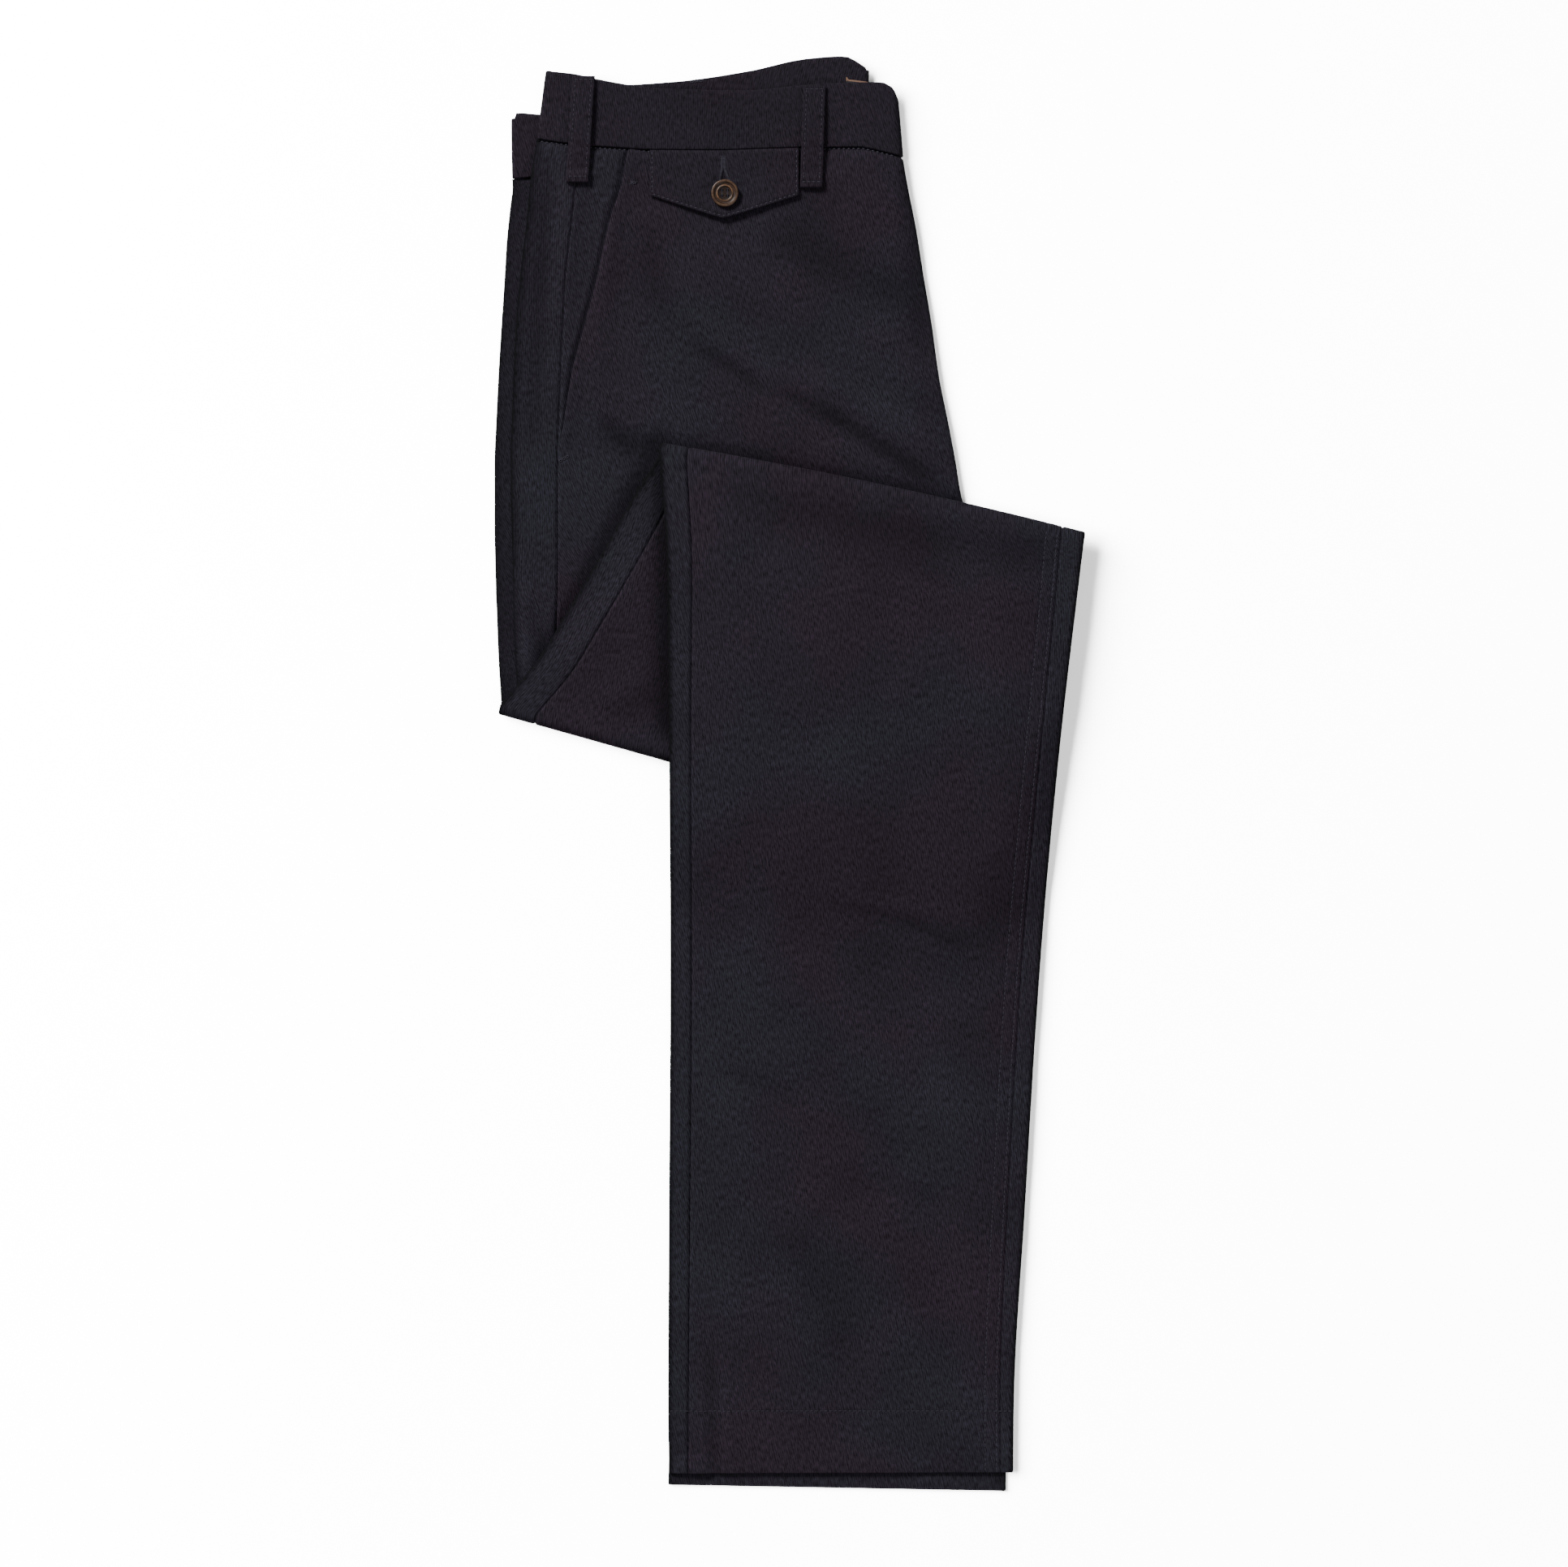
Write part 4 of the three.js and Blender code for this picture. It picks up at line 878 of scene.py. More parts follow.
def make_facing():
    """The cloth behind the slanted pocket: it shows between the side seam and the opening."""
    sizes = bpy.context.scene.trousers_sizes
    rows = ROWS.take(np.arange(ROWS.index["pocket_end", WAIST] + 1))
    start, stop = rows.side + HALF_GAP, rows.front - 2 * HALF_GAP
    u = np.hstack([mix(start, stop, FACING_COLUMNS[None, :]), stop + FACING_UNDER[None, :]])
    sink_from = stop - np.minimum(FACING_RUN, 0.6 * (stop - start))
    sink = FACING_SINK * smooth((u - sink_from) / FACING_RUN)
    depth = np.maximum(np.maximum(seam_ditch(u - start), end_ditch(rows)), sink)
    points = place(rows, "right", u, depth) * MM
    grain = np.stack([(u - rows.width / 2) * MM, -rows.down * MM + 0 * u], axis=-1)
    facing = grid_mesh("pocket_facing_cloth", points, grain)
    thicken(facing, sizes.ply)
    facing.data.materials.append(twill("back"))
    finish_piece(facing, "twill", "pocket_facing")
    return facing, points


FLAP_EDGE = np.array([0, 0.12, 0.3, 0.55, 0.85, 1.1, 1.35, 1.6, 2.0, 2.8])
FLAP_TOP_EDGE = np.array([0, 0.3, 0.7, 1.2, 2.0])
FLAP_ROLL = 0.8
FLAP_TUCK = 1.1  # how far its upper edge goes down into the waistband seam
FLAP_STITCH = 1.35
FLAP_GROOVE, FLAP_GROOVE_HALF = 0.2, 0.4
# Distance from the sloping lower edge for each millimetre of height, and the other way round.
SLOPED, UPRIGHT = 0.96, 1.04
HOLE = {"x": -36.6, "top": 341.4, "closed_to": 335.6, "low": 328.0, "lean": 0.8}
HOLE_HALF, HOLE_DEEP = (0.3, 2.0), (0.35, 1.05)  # where it is closed, and at the button
HOLE_HALVES = np.array([0.35, 0.7, 1.1, 1.6, 2.2, 3, 4])  # columns beside the buttonhole


def flap_low(x):
    """Y of the flap's lower edge, with its point a little rounded."""
    from_left = (x - FLAP["left"]) / (FLAP["tip"] - FLAP["left"])
    from_right = (FLAP["right"] - x) / (FLAP["right"] - FLAP["tip"])
    point = np.where(x < FLAP["tip"], from_left, from_right)
    straight = mix(FLAP["corner_y"], FLAP["tip_y"], np.clip(point, 0, 1))
    return straight + 0.45 * np.exp(-np.abs(x - FLAP["tip"]) / 2.2)


def flap_surface(x, y):
    """Height of the flap's outer face, without its rolled edges."""
    down = np.clip((seam_y(x.ravel()).reshape(x.shape) - y) / FLAP_LONG, 0, 1)
    point = 1 - np.clip(np.abs(x - FLAP["tip"]) / FLAP_HALF, 0, 1)
    lift = (FLAP_EDGE_LIFT + FLAP_TIP_LIFT * point) * down**3
    rise = lift + FLAP_WAVE * np.sin(x / FLAP_WAVE_RUN) * down * (1 - point)
    return row_height(x, y) + FLAP_GAP + rise + FLAP_PLY


def hole_open(y):
    """How far the buttonhole gapes at a height, from 0 where it is closed to 1 at the button."""
    return np.clip((HOLE["closed_to"] - y) / (HOLE["closed_to"] - HOLE["low"]), 0, 1)


def make_flap():
    """The coin pocket's flap, two plies with a turned and topstitched edge."""
    left, right = FLAP["left"], FLAP["right"]
    hole = HOLE["x"] + np.concatenate([-HOLE_HALVES[::-1], [0], HOLE_HALVES])
    xs = np.concatenate([
        left + FLAP_EDGE,
        np.linspace(left + 4.5, hole[0] - 2, 12),
        hole,
        np.linspace(hole[-1] + 2, right - 4.5, 12),
        (right - FLAP_EDGE)[::-1],
    ])
    top = seam_y(xs) - 0.1
    low = flap_low(xs)
    lengths = np.linspace(0, 1, 26)[:, None]
    y = np.vstack([
        top - FLAP_TOP_EDGE[:, None],
        mix(top - 3.0, low + 3.8, lengths),
        (low + FLAP_EDGE[:, None] * UPRIGHT)[::-1],
    ])
    x = xs + 0 * y
    near = np.minimum((y - low) * SLOPED, np.minimum(x - left, right - x))
    roll = FLAP_ROLL * (1 - np.sqrt(1 - (1 - np.clip(near / FLAP_ROLL, 0, 1)) ** 2))
    groove = FLAP_GROOVE * np.exp(-(((near - FLAP_STITCH) / FLAP_GROOVE_HALF) ** 2))
    tuck = FLAP_TUCK * np.exp(-(((top - y) / 0.8) ** 2))
    open_by = hole_open(y)
    from_slit = x - HOLE["x"] - HOLE["lean"] * open_by
    slit = np.exp(-((from_slit / mix(*HOLE_HALF, open_by)) ** 2)) * mix(*HOLE_DEEP, open_by)
    slit *= smooth((HOLE["top"] - y) / 0.8) * smooth((y - (HOLE["low"] - 6)) / 3)
    z = flap_surface(x, y) - roll - groove - tuck - slit
    points = np.stack([x, y, z], axis=-1) * MM
    flap = grid_mesh("coin_pocket_flap_cloth", points, points[..., :2])
    thicken(flap, FLAP_PLY * FLAP_SHELL * MM)
    flap.data.materials.append(twill("trim"))
    finish_piece(flap, "twill", "coin_pocket_flap")
    return flap, points


def loop_line(name, at, across=0.0):
    """Points along a belt loop's outer face, at a distance across it, and its thickness."""
    (x0, y0), (x1, y1) = LOOPS[name]
    at = np.asarray(at, float)
    x, y = mix(x0, x1, at), mix(y0, y1, at)
    rise = smooth_through(at, np.array(LOOP_BOW["at"]), np.array(LOOP_BOW["rise"])[:, None])[:, 0]
    over_band = smooth((y - seam_y(x) + 2.5) / 5)
    ground = mix(row_height(x, y), BAND_PILE + 0.1, over_band)
    end = smooth(((at - 1) * (y0 - y1) + LOOP_END + 1.5) / 2)
    ply = mix(LOOP_PLY, LOOP_END_PLY, end)
    return x + across, y, ground + rise, ply


LOOP_LENGTHS = np.concatenate(
    [[0, 0.004, 0.01, 0.018], np.linspace(0.03, 0.97, 44), [0.982, 0.99, 0.996, 1]]
)
LOOP_CORNER = 0.7
LOOP_TURNED = 4  # length turned under
LOOP_STITCH = 1.9  # from its edge to its topstitching
LOOP_GROOVE, LOOP_GROOVE_HALF = 0.16, 0.45


def make_loop(name):
    """One belt loop: a flat tube of twill, turned under at its lower end."""
    length = LOOPS[name][0][1] - LOOPS[name][1][1]
    x, y, z, ply = loop_line(name, LOOP_LENGTHS)
    half = LOOP_WIDTH / 2
    turn = np.linspace(-90, 90, 7)
    rings, grain = [], []
    for i, share in enumerate(LOOP_LENGTHS):
        radius = ply[i] / 2
        ends = np.clip(min(share, 1 - share) * length / 0.8, 0, 1)
        full = 0.35 + 0.65 * math.sqrt(1 - (1 - ends) ** 2)
        corner = min(radius, LOOP_CORNER)
        offsets, heights = [], []
        for side in (1, -1):
            for degrees in turn:
                angle = math.radians(degrees) * side
                offsets.append(side * (half - corner + corner * math.cos(angle)))
                heights.append(radius * math.sin(angle))
            for inner in np.linspace(0.9, -0.9, 9)[1:-1]:
                from_row = (abs(inner) * half - (half - LOOP_STITCH)) / LOOP_GROOVE_HALF
                groove = LOOP_GROOVE * math.exp(-(from_row**2)) if side > 0 else 0
                offsets.append(side * inner * half)
                heights.append(side * (radius - groove))
        offsets, heights = np.array(offsets), np.array(heights) * full
        level = y[i] + 0 * offsets
        rings.append(np.stack([x[i] + offsets, level, z[i] + radius + heights], axis=-1) * MM)
        grain.append(np.stack([offsets, level], axis=-1) * MM)
    loop = loft_mesh(name + "_cloth", rings, grain)
    loop.data.materials.append(twill("trim"))
    finish_piece(loop, "twill", name)
    return loop


def select_faces(piece, wanted):
    """In edit mode, selects the faces for which wanted(face) holds."""
    bpy.ops.mesh.select_mode(type="FACE")
    bpy.ops.mesh.select_all(action="DESELECT")
    shaped = bmesh.from_edit_mesh(piece.data)
    for face in shaped.faces:
        face.select_set(bool(wanted(face)))
    bmesh.update_edit_mesh(piece.data)


def settle(piece):
    """Puts a piece's place into its mesh, so that its object lies at the origin unturned."""
    select_only(piece)
    bpy.ops.object.transform_apply(location=True, rotation=True, scale=True)


# Steps from the rim to the middle of the button's face: inset, then up or down, in millimetres.
BUTTON_STEPS = (
    (0.35, 0.25),
    (1.0, 0.0),
    (0.35, -0.75),
    (1.15, -0.1),
    (0.28, 0.5),
    (0.35, 0.0),
    (0.3, -0.75),
)
BUTTON_EDGE = 0.2
BUTTON_THINNER, BUTTON_SUNK = 0.4, 0.1  # than the solid, which its steps then fill
HOLE_CIRCLE, HOLE_SIZE = 4.4, 1.7
# Strands through its holes: height over its middle, half length in hole spacings, half the way
# from one to the next, and thickness.
BUTTON_THREAD = {"rise": 0.45, "half": 1.25, "apart": 0.2, "thick": 0.28}


def make_button():
    """A turned four-hole button: raised rim, groove, raised ring and a dished middle."""
    sizes = bpy.context.scene.trousers_sizes
    low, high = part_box("button")
    middle = (low.z + high.z) / 2 - BUTTON_SUNK * MM
    centre = Vector((*(value * MM for value in BUTTON_AT), middle))
    radius, depth = sizes.button / 2, high.z - low.z - BUTTON_THINNER * MM
    bpy.ops.object.select_all(action="DESELECT")
    bpy.ops.mesh.primitive_cylinder_add(vertices=64, radius=radius, depth=depth, location=centre)
    button = bpy.context.active_object
    button.name = "button_turned"
    bpy.ops.object.mode_set(mode="EDIT")
    select_faces(button, lambda face: face.normal.z > 0.9)
    for inset, rise in BUTTON_STEPS:
        bpy.ops.mesh.inset(thickness=inset * MM, depth=0)
        if rise:
            bpy.ops.transform.translate(value=(0, 0, rise * MM))
    bpy.ops.object.mode_set(mode="OBJECT")
    rounded = button.modifiers.new("rounded", "BEVEL")
    rounded.width = BUTTON_EDGE * MM
    rounded.segments = 3
    rounded.limit_method = "ANGLE"
    rounded.angle_limit = math.radians(25)
    bpy.ops.object.modifier_apply(modifier=rounded.name)
    reach, size = HOLE_CIRCLE / 2 * MM, HOLE_SIZE / 2 * MM
    for angle in (45, 135, 225, 315):
        turn = math.radians(angle)
        at = centre + Vector((reach * math.cos(turn), reach * math.sin(turn), 0))
        bpy.ops.mesh.primitive_cylinder_add(vertices=20, radius=size, depth=0.02, location=at)
        drill = bpy.context.active_object
        select_only(button)
        bored = button.modifiers.new("hole", "BOOLEAN")
        bored.object = drill
        bored.solver = "EXACT"
        bpy.ops.object.modifier_apply(modifier=bored.name)
        bpy.data.objects.remove(drill)
    settle(button)
    bpy.ops.object.shade_smooth_by_angle(angle=math.radians(35))
    button.data.materials.clear()
    button.data.materials.append(moulded_horn())
    finish_piece(button, "button", "button")
    return centre


LABEL_STRIP = {
    "left_top": 385.6,
    "right_top": 384.2,
    "fold": 1.0,
    "fold_top": 387.0,
    "tall": 4.8,
    "above": 0.09,
    "thick": 0.25,
    "pale": 0.75,
}
LABEL_CUT = (12.1, 10, 60)  # width, length and area of the end that shows


def make_label():
    """The folded edge of a plain tape that is sewn in at the centre back."""
    colours = bpy.context.scene.trousers_colours
    low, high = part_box("label_edge")
    bpy.ops.object.select_all(action="DESELECT")
    bpy.ops.mesh.primitive_cube_add(size=1, location=(0, 0, 0))
    label = bpy.context.active_object
    label.name = "label_tape"
    bpy.ops.object.mode_set(mode="EDIT")
    bpy.ops.mesh.subdivide(number_cuts=15)
    bpy.ops.object.mode_set(mode="OBJECT")
    for vertex in label.data.vertices:
        across, up, thick = (value + 0.5 for value in vertex.co)
        x = mix(low.x, high.x, across)
        folded = smooth((LABEL_STRIP["fold"] * MM - (x - low.x)) / (0.4 * MM))
        top = mix(LABEL_STRIP["left_top"], LABEL_STRIP["right_top"], across**1.4)
        top = mix(top, LABEL_STRIP["fold_top"], float(folded))
        edge = 1 - 0.6 * abs(2 * thick - 1) * up**6
        y = top - LABEL_STRIP["tall"] * (1 - up)
        rise = LABEL_STRIP["above"] + LABEL_STRIP["thick"] * (thick * edge + float(folded))
        vertex.co = (x, y * MM, (BACK_BAND + rise) * MM)
    select_only(label)
    bpy.ops.object.shade_smooth_by_angle(angle=math.radians(40))
    label.data.materials.append(woven_tape("tan_tape", colours.label))
    label.data.materials.append(woven_tape("dark_tape", colours.label_ground))
    for face in label.data.polygons:
        across = (face.center.x - low.x) / (high.x - low.x)
        top = mix(LABEL_STRIP["left_top"], LABEL_STRIP["right_top"], across)
        face.material_index = int(face.center.y / MM < top - LABEL_STRIP["pale"])
    finish_piece(label, "label", "label_edge")
    return label


# ---- Materials ------------------------------------------------------------------------------

WAVE_PERIOD = math.pi / 10  # of the Wave Texture, in its own coordinate
RIB_LEAN = math.radians(-13)  # ribs stand 77 degrees from the weft, leaning to the left
# How warm the patches of a cut are, from least to most, and how much darker it is.
CUT_TONES = {"front": (0.15, 1.0, 0.0), "back": (0.0, 0.45, 0.0), "trim": (0.35, 1.0, 0.14)}
PAINTED_SHADING_RANGE = (-2.8, 1.6, 0.125, 1.5)  # painted shading from least to most, and how bright the twill is painted there
# How pale the button is at distances from its middle, in millimetres, and how far they reach.
BUTTON_TONES = (
    (0, 0),
    (3.9, 0),
    (4.1, 1),
    (4.6, 1),
    (4.9, 0.1),
    (6.2, 0.15),
    (6.7, 0.42),
    (7.5, 0.3),
)
BUTTON_REACH = 8
TAPE_THREAD = 0.0006  # metres from one thread of the tape to the next


def add(tree, kind, inputs=(), **settings):
    """A node with its settings. Inputs pair a socket's name or number with a value or with another
    node's output; those of a Map Range are numbered: the value, its range and the new range."""
    made = tree.nodes.new(kind)
    for key, value in settings.items():
        setattr(made, key, value)
    for key, value in dict(inputs).items():
        if isinstance(value, bpy.types.NodeSocket):
            tree.links.new(value, made.inputs[key])
        else:
            made.inputs[key].default_value = value
    return made


def new_material(name):
    material = bpy.data.materials.new(name)
    material.use_nodes = True
    material.node_tree.nodes.clear()
    return material, material.node_tree


def shaded(colour, times):
    """A colour made paler or darker, as RGBA."""
    return (*(min(1, channel * times) for channel in colour[:3]), 1)


def twill(cut="front"):
    """Brushed cotton twill, woven and piece-dyed: steep ribs broken into short uneven floats, a
    matt face, and slow patches where the dye looks warmer or colder. Real ribs lie about half as
    far apart, and are drawn here as coarse as they need to show."""
    found = bpy.data.materials.get("cotton_twill_" + cut)
    if found:
        return found
    sizes, colours = bpy.context.scene.trousers_sizes, bpy.context.scene.trousers_colours
    light, dark, warm = (tuple(c) for c in (colours.rib_light, colours.rib_dark, colours.warm))
    least_warm, most_warm, deeper = CUT_TONES[cut]
    material, tree = new_material("cotton_twill_" + cut)
    grain = add(tree, "ShaderNodeUVMap", uv_map="grain").outputs[0]
    leant = add(tree, "ShaderNodeMapping", {"Vector": grain, "Rotation": (0, 0, RIB_LEAN)}).outputs[0]
    ribs = {
        "Vector": leant,
        "Scale": WAVE_PERIOD / sizes.rib,
        "Distortion": 2.2,
        "Detail": 2.0,
        "Detail Scale": 1.3,
        "Detail Roughness": 0.6,
    }
    rib = add(tree, "ShaderNodeTexWave", ribs, bands_direction="X").outputs["Fac"]
    # Slubs are thicker stretches of yarn, longer than wide, that lie along the ribs.
    drawn = add(tree, "ShaderNodeMapping", {"Vector": leant, "Scale": (1.0, 0.3, 1.0)}).outputs[0]
    slubs = {"Vector": drawn, "Scale": 1.25 / sizes.rib, "Detail": 2.0}
    slub = add(tree, "ShaderNodeTexNoise", slubs).outputs["Fac"]
    uneven = add(tree, "ShaderNodeMapRange", enumerate((slub, 0.32, 0.68))).outputs[0]
    mixed = {"Factor": 0.62, 6: rib, 7: uneven}
    height = add(tree, "ShaderNodeMix", mixed, data_type="RGBA").outputs[2]
    place_on = add(tree, "ShaderNodeTexCoord").outputs["Object"]
    large = {"Vector": place_on, "Scale": 9.0, "Detail": 3.0}
    patches = add(tree, "ShaderNodeTexNoise", large).outputs["Fac"]
    warmth = (patches, 0.38, 0.58, least_warm, most_warm)
    warm_share = add(tree, "ShaderNodeMapRange", enumerate(warmth)).outputs[0]
    dyes = {"Factor": warm_share, 6: light, 7: warm}
    dye = add(tree, "ShaderNodeMix", dyes, data_type="RGBA").outputs[2]
    small = {"Vector": place_on, "Scale": 26.0, "Detail": 2.0}
    cloudy = add(tree, "ShaderNodeTexNoise", small).outputs["Fac"]
    depths = (cloudy, 0.3, 0.7, deeper, deeper + 0.2)
    deep = add(tree, "ShaderNodeMapRange", enumerate(depths)).outputs[0]
    tops = add(tree, "ShaderNodeMix", {"Factor": deep, 6: dye, 7: dark}, data_type="RGBA").outputs[2]
    cloth = {"Factor": height, 6: dark, 7: tops}
    shade = add(tree, "ShaderNodeMix", cloth, data_type="RGBA").outputs[2]
    # Painted shade darkens the troughs of creases and the turned edges of the backs, and a painted highlight
    # pales the ridges.
    painted_shading = add(tree, "ShaderNodeAttribute", attribute_name="painted_shading").outputs["Fac"]
    pale = add(tree, "ShaderNodeMapRange", enumerate((painted_shading, *PAINTED_SHADING_RANGE))).outputs[0]
    worn_and_shaded = {0: shade, "Scale": pale}
    shade = add(tree, "ShaderNodeVectorMath", worn_and_shaded, operation="SCALE").outputs[0]
    bump = add(tree, "ShaderNodeBump", {"Height": height, "Strength": 0.6, "Distance": 0.00018})
    matt = {
        "Base Color": shade,
        "Roughness": 0.85,
        "IOR": 1.45,
        "Specular IOR Level": 0.12,
        "Sheen Weight": 0.02,
        "Sheen Roughness": 0.45,
        "Sheen Tint": hex_colour("d8d6e6"),
        "Normal": bump.outputs[0],
    }
    shader = add(tree, "ShaderNodeBsdfPrincipled", matt)
    add(tree, "ShaderNodeOutputMaterial", {"Surface": shader.outputs[0]})
    return material


def sewing_thread():
    """Polyester sewing thread, twisted from two plies: a little glossier than the cloth."""
    found = bpy.data.materials.get("polyester_thread")
    if found:
        return found
    thread = tuple(bpy.context.scene.trousers_colours.thread)
    material, tree = new_material("polyester_thread")
    place_on = add(tree, "ShaderNodeTexCoord").outputs["Object"]
    fine = {"Vector": place_on, "Scale": 700.0, "Detail": 1.0}
    uneven = add(tree, "ShaderNodeTexNoise", fine).outputs["Fac"]
    plies = {"Factor": uneven, 6: thread, 7: shaded(thread, 1.5)}
    shade = add(tree, "ShaderNodeMix", plies, data_type="RGBA").outputs[2]
    satin = {"Base Color": shade, "Roughness": 0.6, "IOR": 1.5, "Specular IOR Level": 0.3}
    shader = add(tree, "ShaderNodeBsdfPrincipled", satin)
    add(tree, "ShaderNodeOutputMaterial", {"Surface": shader.outputs[0]})
    return material


def moulded_horn():
    """Moulded imitation horn: dark brown and satin, paler and streaky on the rim and the ring."""
    colours = bpy.context.scene.trousers_colours
    material, tree = new_material("imitation_horn")
    place_on = add(tree, "ShaderNodeTexCoord").outputs["Object"]
    centre = (BUTTON_AT[0] * MM, BUTTON_AT[1] * MM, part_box("button")[1].z)
    apart = {0: place_on, 1: centre}
    reach = add(tree, "ShaderNodeVectorMath", apart, operation="DISTANCE").outputs["Value"]
    share = add(tree, "ShaderNodeMapRange", enumerate((reach, 0.0, BUTTON_REACH * MM))).outputs[0]
    rings = add(tree, "ShaderNodeValToRGB", {"Fac": share})
    stops = rings.color_ramp.elements
    for at, _ in BUTTON_TONES[1:-1]:
        stops.new(at / BUTTON_REACH)
    for stop, (at, tone) in zip(sorted(stops, key=lambda stop: stop.position), BUTTON_TONES):
        stop.position = at / BUTTON_REACH
        stop.color = (tone, tone, tone, 1)
    fine = {"Vector": place_on, "Scale": 520.0, "Detail": 3.0}
    streaks = add(tree, "ShaderNodeTexNoise", fine).outputs["Fac"]
    rubbed = add(tree, "ShaderNodeMapRange", enumerate((streaks, 0.35, 0.6, 0.35, 1.0))).outputs[0]
    both = {0: rings.outputs[0], 1: rubbed}
    worn_and_shaded = add(tree, "ShaderNodeMath", both, operation="MULTIPLY").outputs[0]
    tones = {"Factor": worn_and_shaded, 6: tuple(colours.horn), 7: tuple(colours.horn_pale)}
    shade = add(tree, "ShaderNodeMix", tones, data_type="RGBA").outputs[2]
    satin = {"Base Color": shade, "Roughness": 0.38, "IOR": 1.54, "Specular IOR Level": 0.4}
    shader = add(tree, "ShaderNodeBsdfPrincipled", satin)
    add(tree, "ShaderNodeOutputMaterial", {"Surface": shader.outputs[0]})
    return material


def woven_tape(name, colour):
    """Cotton tape: fine plain weave, matt."""
    material, tree = new_material(name)
    place_on = add(tree, "ShaderNodeTexCoord").outputs["Object"]
    threads = {"Vector": place_on, "Scale": WAVE_PERIOD / TAPE_THREAD, "Distortion": 0.5}
    weave = add(tree, "ShaderNodeTexWave", threads, bands_direction="X").outputs["Fac"]
    tones = {"Factor": weave, 6: shaded(colour, 0.55), 7: tuple(colour)}
    shade = add(tree, "ShaderNodeMix", tones, data_type="RGBA").outputs[2]
    bump = add(tree, "ShaderNodeBump", {"Height": weave, "Strength": 0.5, "Distance": 0.0001})
    matt = {"Base Color": shade, "Roughness": 0.8, "Normal": bump.outputs[0]}
    shader = add(tree, "ShaderNodeBsdfPrincipled", matt)
    add(tree, "ShaderNodeOutputMaterial", {"Surface": shader.outputs[0]})
    return material


def tabletop():
    """Matt white card, evenly lit."""
    floor = tuple(bpy.context.scene.trousers_colours.floor)
    material, tree = new_material("white_card")
    shader = add(tree, "ShaderNodeBsdfPrincipled", {"Base Color": floor, "Roughness": 0.9})
    add(tree, "ShaderNodeOutputMaterial", {"Surface": shader.outputs[0]})
    return material


# ---- Stitches -------------------------------------------------------------------------------


def resample(points, pitch):
    """Points at equal steps along a line."""
    lengths = np.concatenate([[0], np.cumsum(np.linalg.norm(np.diff(points, axis=0), axis=1))])
    count = max(2, int(round(lengths[-1] / pitch)))
    at = (np.arange(count) + 0.5) * lengths[-1] / count
    return np.stack([np.interp(at, lengths, points[:, k]) for k in range(3)], axis=-1)


def stitch_form():
    """One stitch of unit length and thickness: a rounded bead, its ends dipping into the cloth."""
    bpy.ops.mesh.primitive_uv_sphere_add(segments=6, ring_count=5, radius=0.5)
    bead = bpy.context.active_object
    verts = np.array([v.co for v in bead.data.vertices])
    faces = [list(p.vertices) for p in bead.data.polygons]
    bpy.data.objects.remove(bead)
    verts = verts[:, [2, 1, 0]]
    verts[:, 2] -= 0.35 * (2 * verts[:, 0]) ** 4
    return verts, [face[::-1] for face in faces]


def stitches(name, lines, pitch=None, fill=0.78, thickness=None):
    """One mesh of stitches along several lines of points, each with the way out of the cloth."""
    sizes = bpy.context.scene.trousers_sizes
    pitch = pitch or sizes.stitch_pitch
    thickness = thickness or sizes.thread
    bead, faces = stitch_form()
    verts, polygons = [], []
    for points, outward in lines:
        spots = resample(np.asarray(points, float), pitch)
        ways = np.gradient(spots, axis=0)
        ways /= np.linalg.norm(ways, axis=1)[:, None]
        out = np.broadcast_to(np.asarray(outward, float), spots.shape)
        out = out - ways * (out * ways).sum(axis=1)[:, None]
        out /= np.linalg.norm(out, axis=1)[:, None]
        across = np.cross(out, ways)
        for spot, way, side, top in zip(spots, ways, across, out):
            start = len(verts)
            shape = bead * np.array([pitch * fill, thickness, thickness * 0.9])
            verts.extend((spot + shape @ np.stack([way, side, top])).tolist())
            polygons.extend([[start + i for i in face] for face in faces])
    piece = mesh_piece(name, verts, polygons)
    outwards(piece)
    bpy.ops.object.shade_smooth()
    piece.data.materials.append(sewing_thread())
    finish_piece(piece, "thread")
    return piece


def upper_line(x, y, z):
    """A line for stitches() on a face that looks up, from points in millimetres."""
    return np.stack(np.broadcast_arrays(x, y, z), axis=-1) * MM, (0, 0, 1)


# ---- Operators ------------------------------------------------------------------------------


class TROUSERS_OT_panels(bpy.types.Operator):
    """Lays the two fronts and the two backs through both folds, down to their turned-up hems"""

    bl_idname = "trousers.panels"
    bl_label = "Leg panels"

    def execute(self, context):
        right_back = ("right_back_side", "right_back_inseam", "folded_layers")
        left_back = ("left_back_side", "left_back_inseam", "folded_layers")
        below = []
        for name, leg, section, nodes, flip in (
            ("left_front_panel", "left", front_section, ("left_front", "left_hem"), True),
            ("left_back_panel", "left", back_section, left_back, False),
            ("right_back_panel", "right", back_section, right_back, True),
            ("right_front_panel", "right", front_section, ("right_front", "right_hem"), False),
        ):
            panel, points = make_panel(name, leg, section, nodes, flip)
            declare_cut(panel, points, "folded", below)
            below = [name]
        return {"FINISHED"}


class TROUSERS_OT_waistband(bpy.types.Operator):
    """Makes both halves of the waistband and the plain tape at the centre back"""

    bl_idname = "trousers.waistband"
    bl_label = "Waistband and tape"

    def execute(self, context):
        halves = (
            ("waistband_right_cloth", "right", "right_front", "right_back", "waistband_right"),
            ("waistband_left_cloth", "left", "left_front", "left_back", "waistband_left"),
        )
        for name, leg, front_edge, back_edge, node in halves:
            band, run = make_band(name, leg, front_edge, back_edge, node)
            declare(band, run, BAND_HEIGHT * MM)
        width, length, area = LABEL_CUT
        declare(make_label(), width * MM, length * MM, area * MM**2)
        return {"FINISHED"}


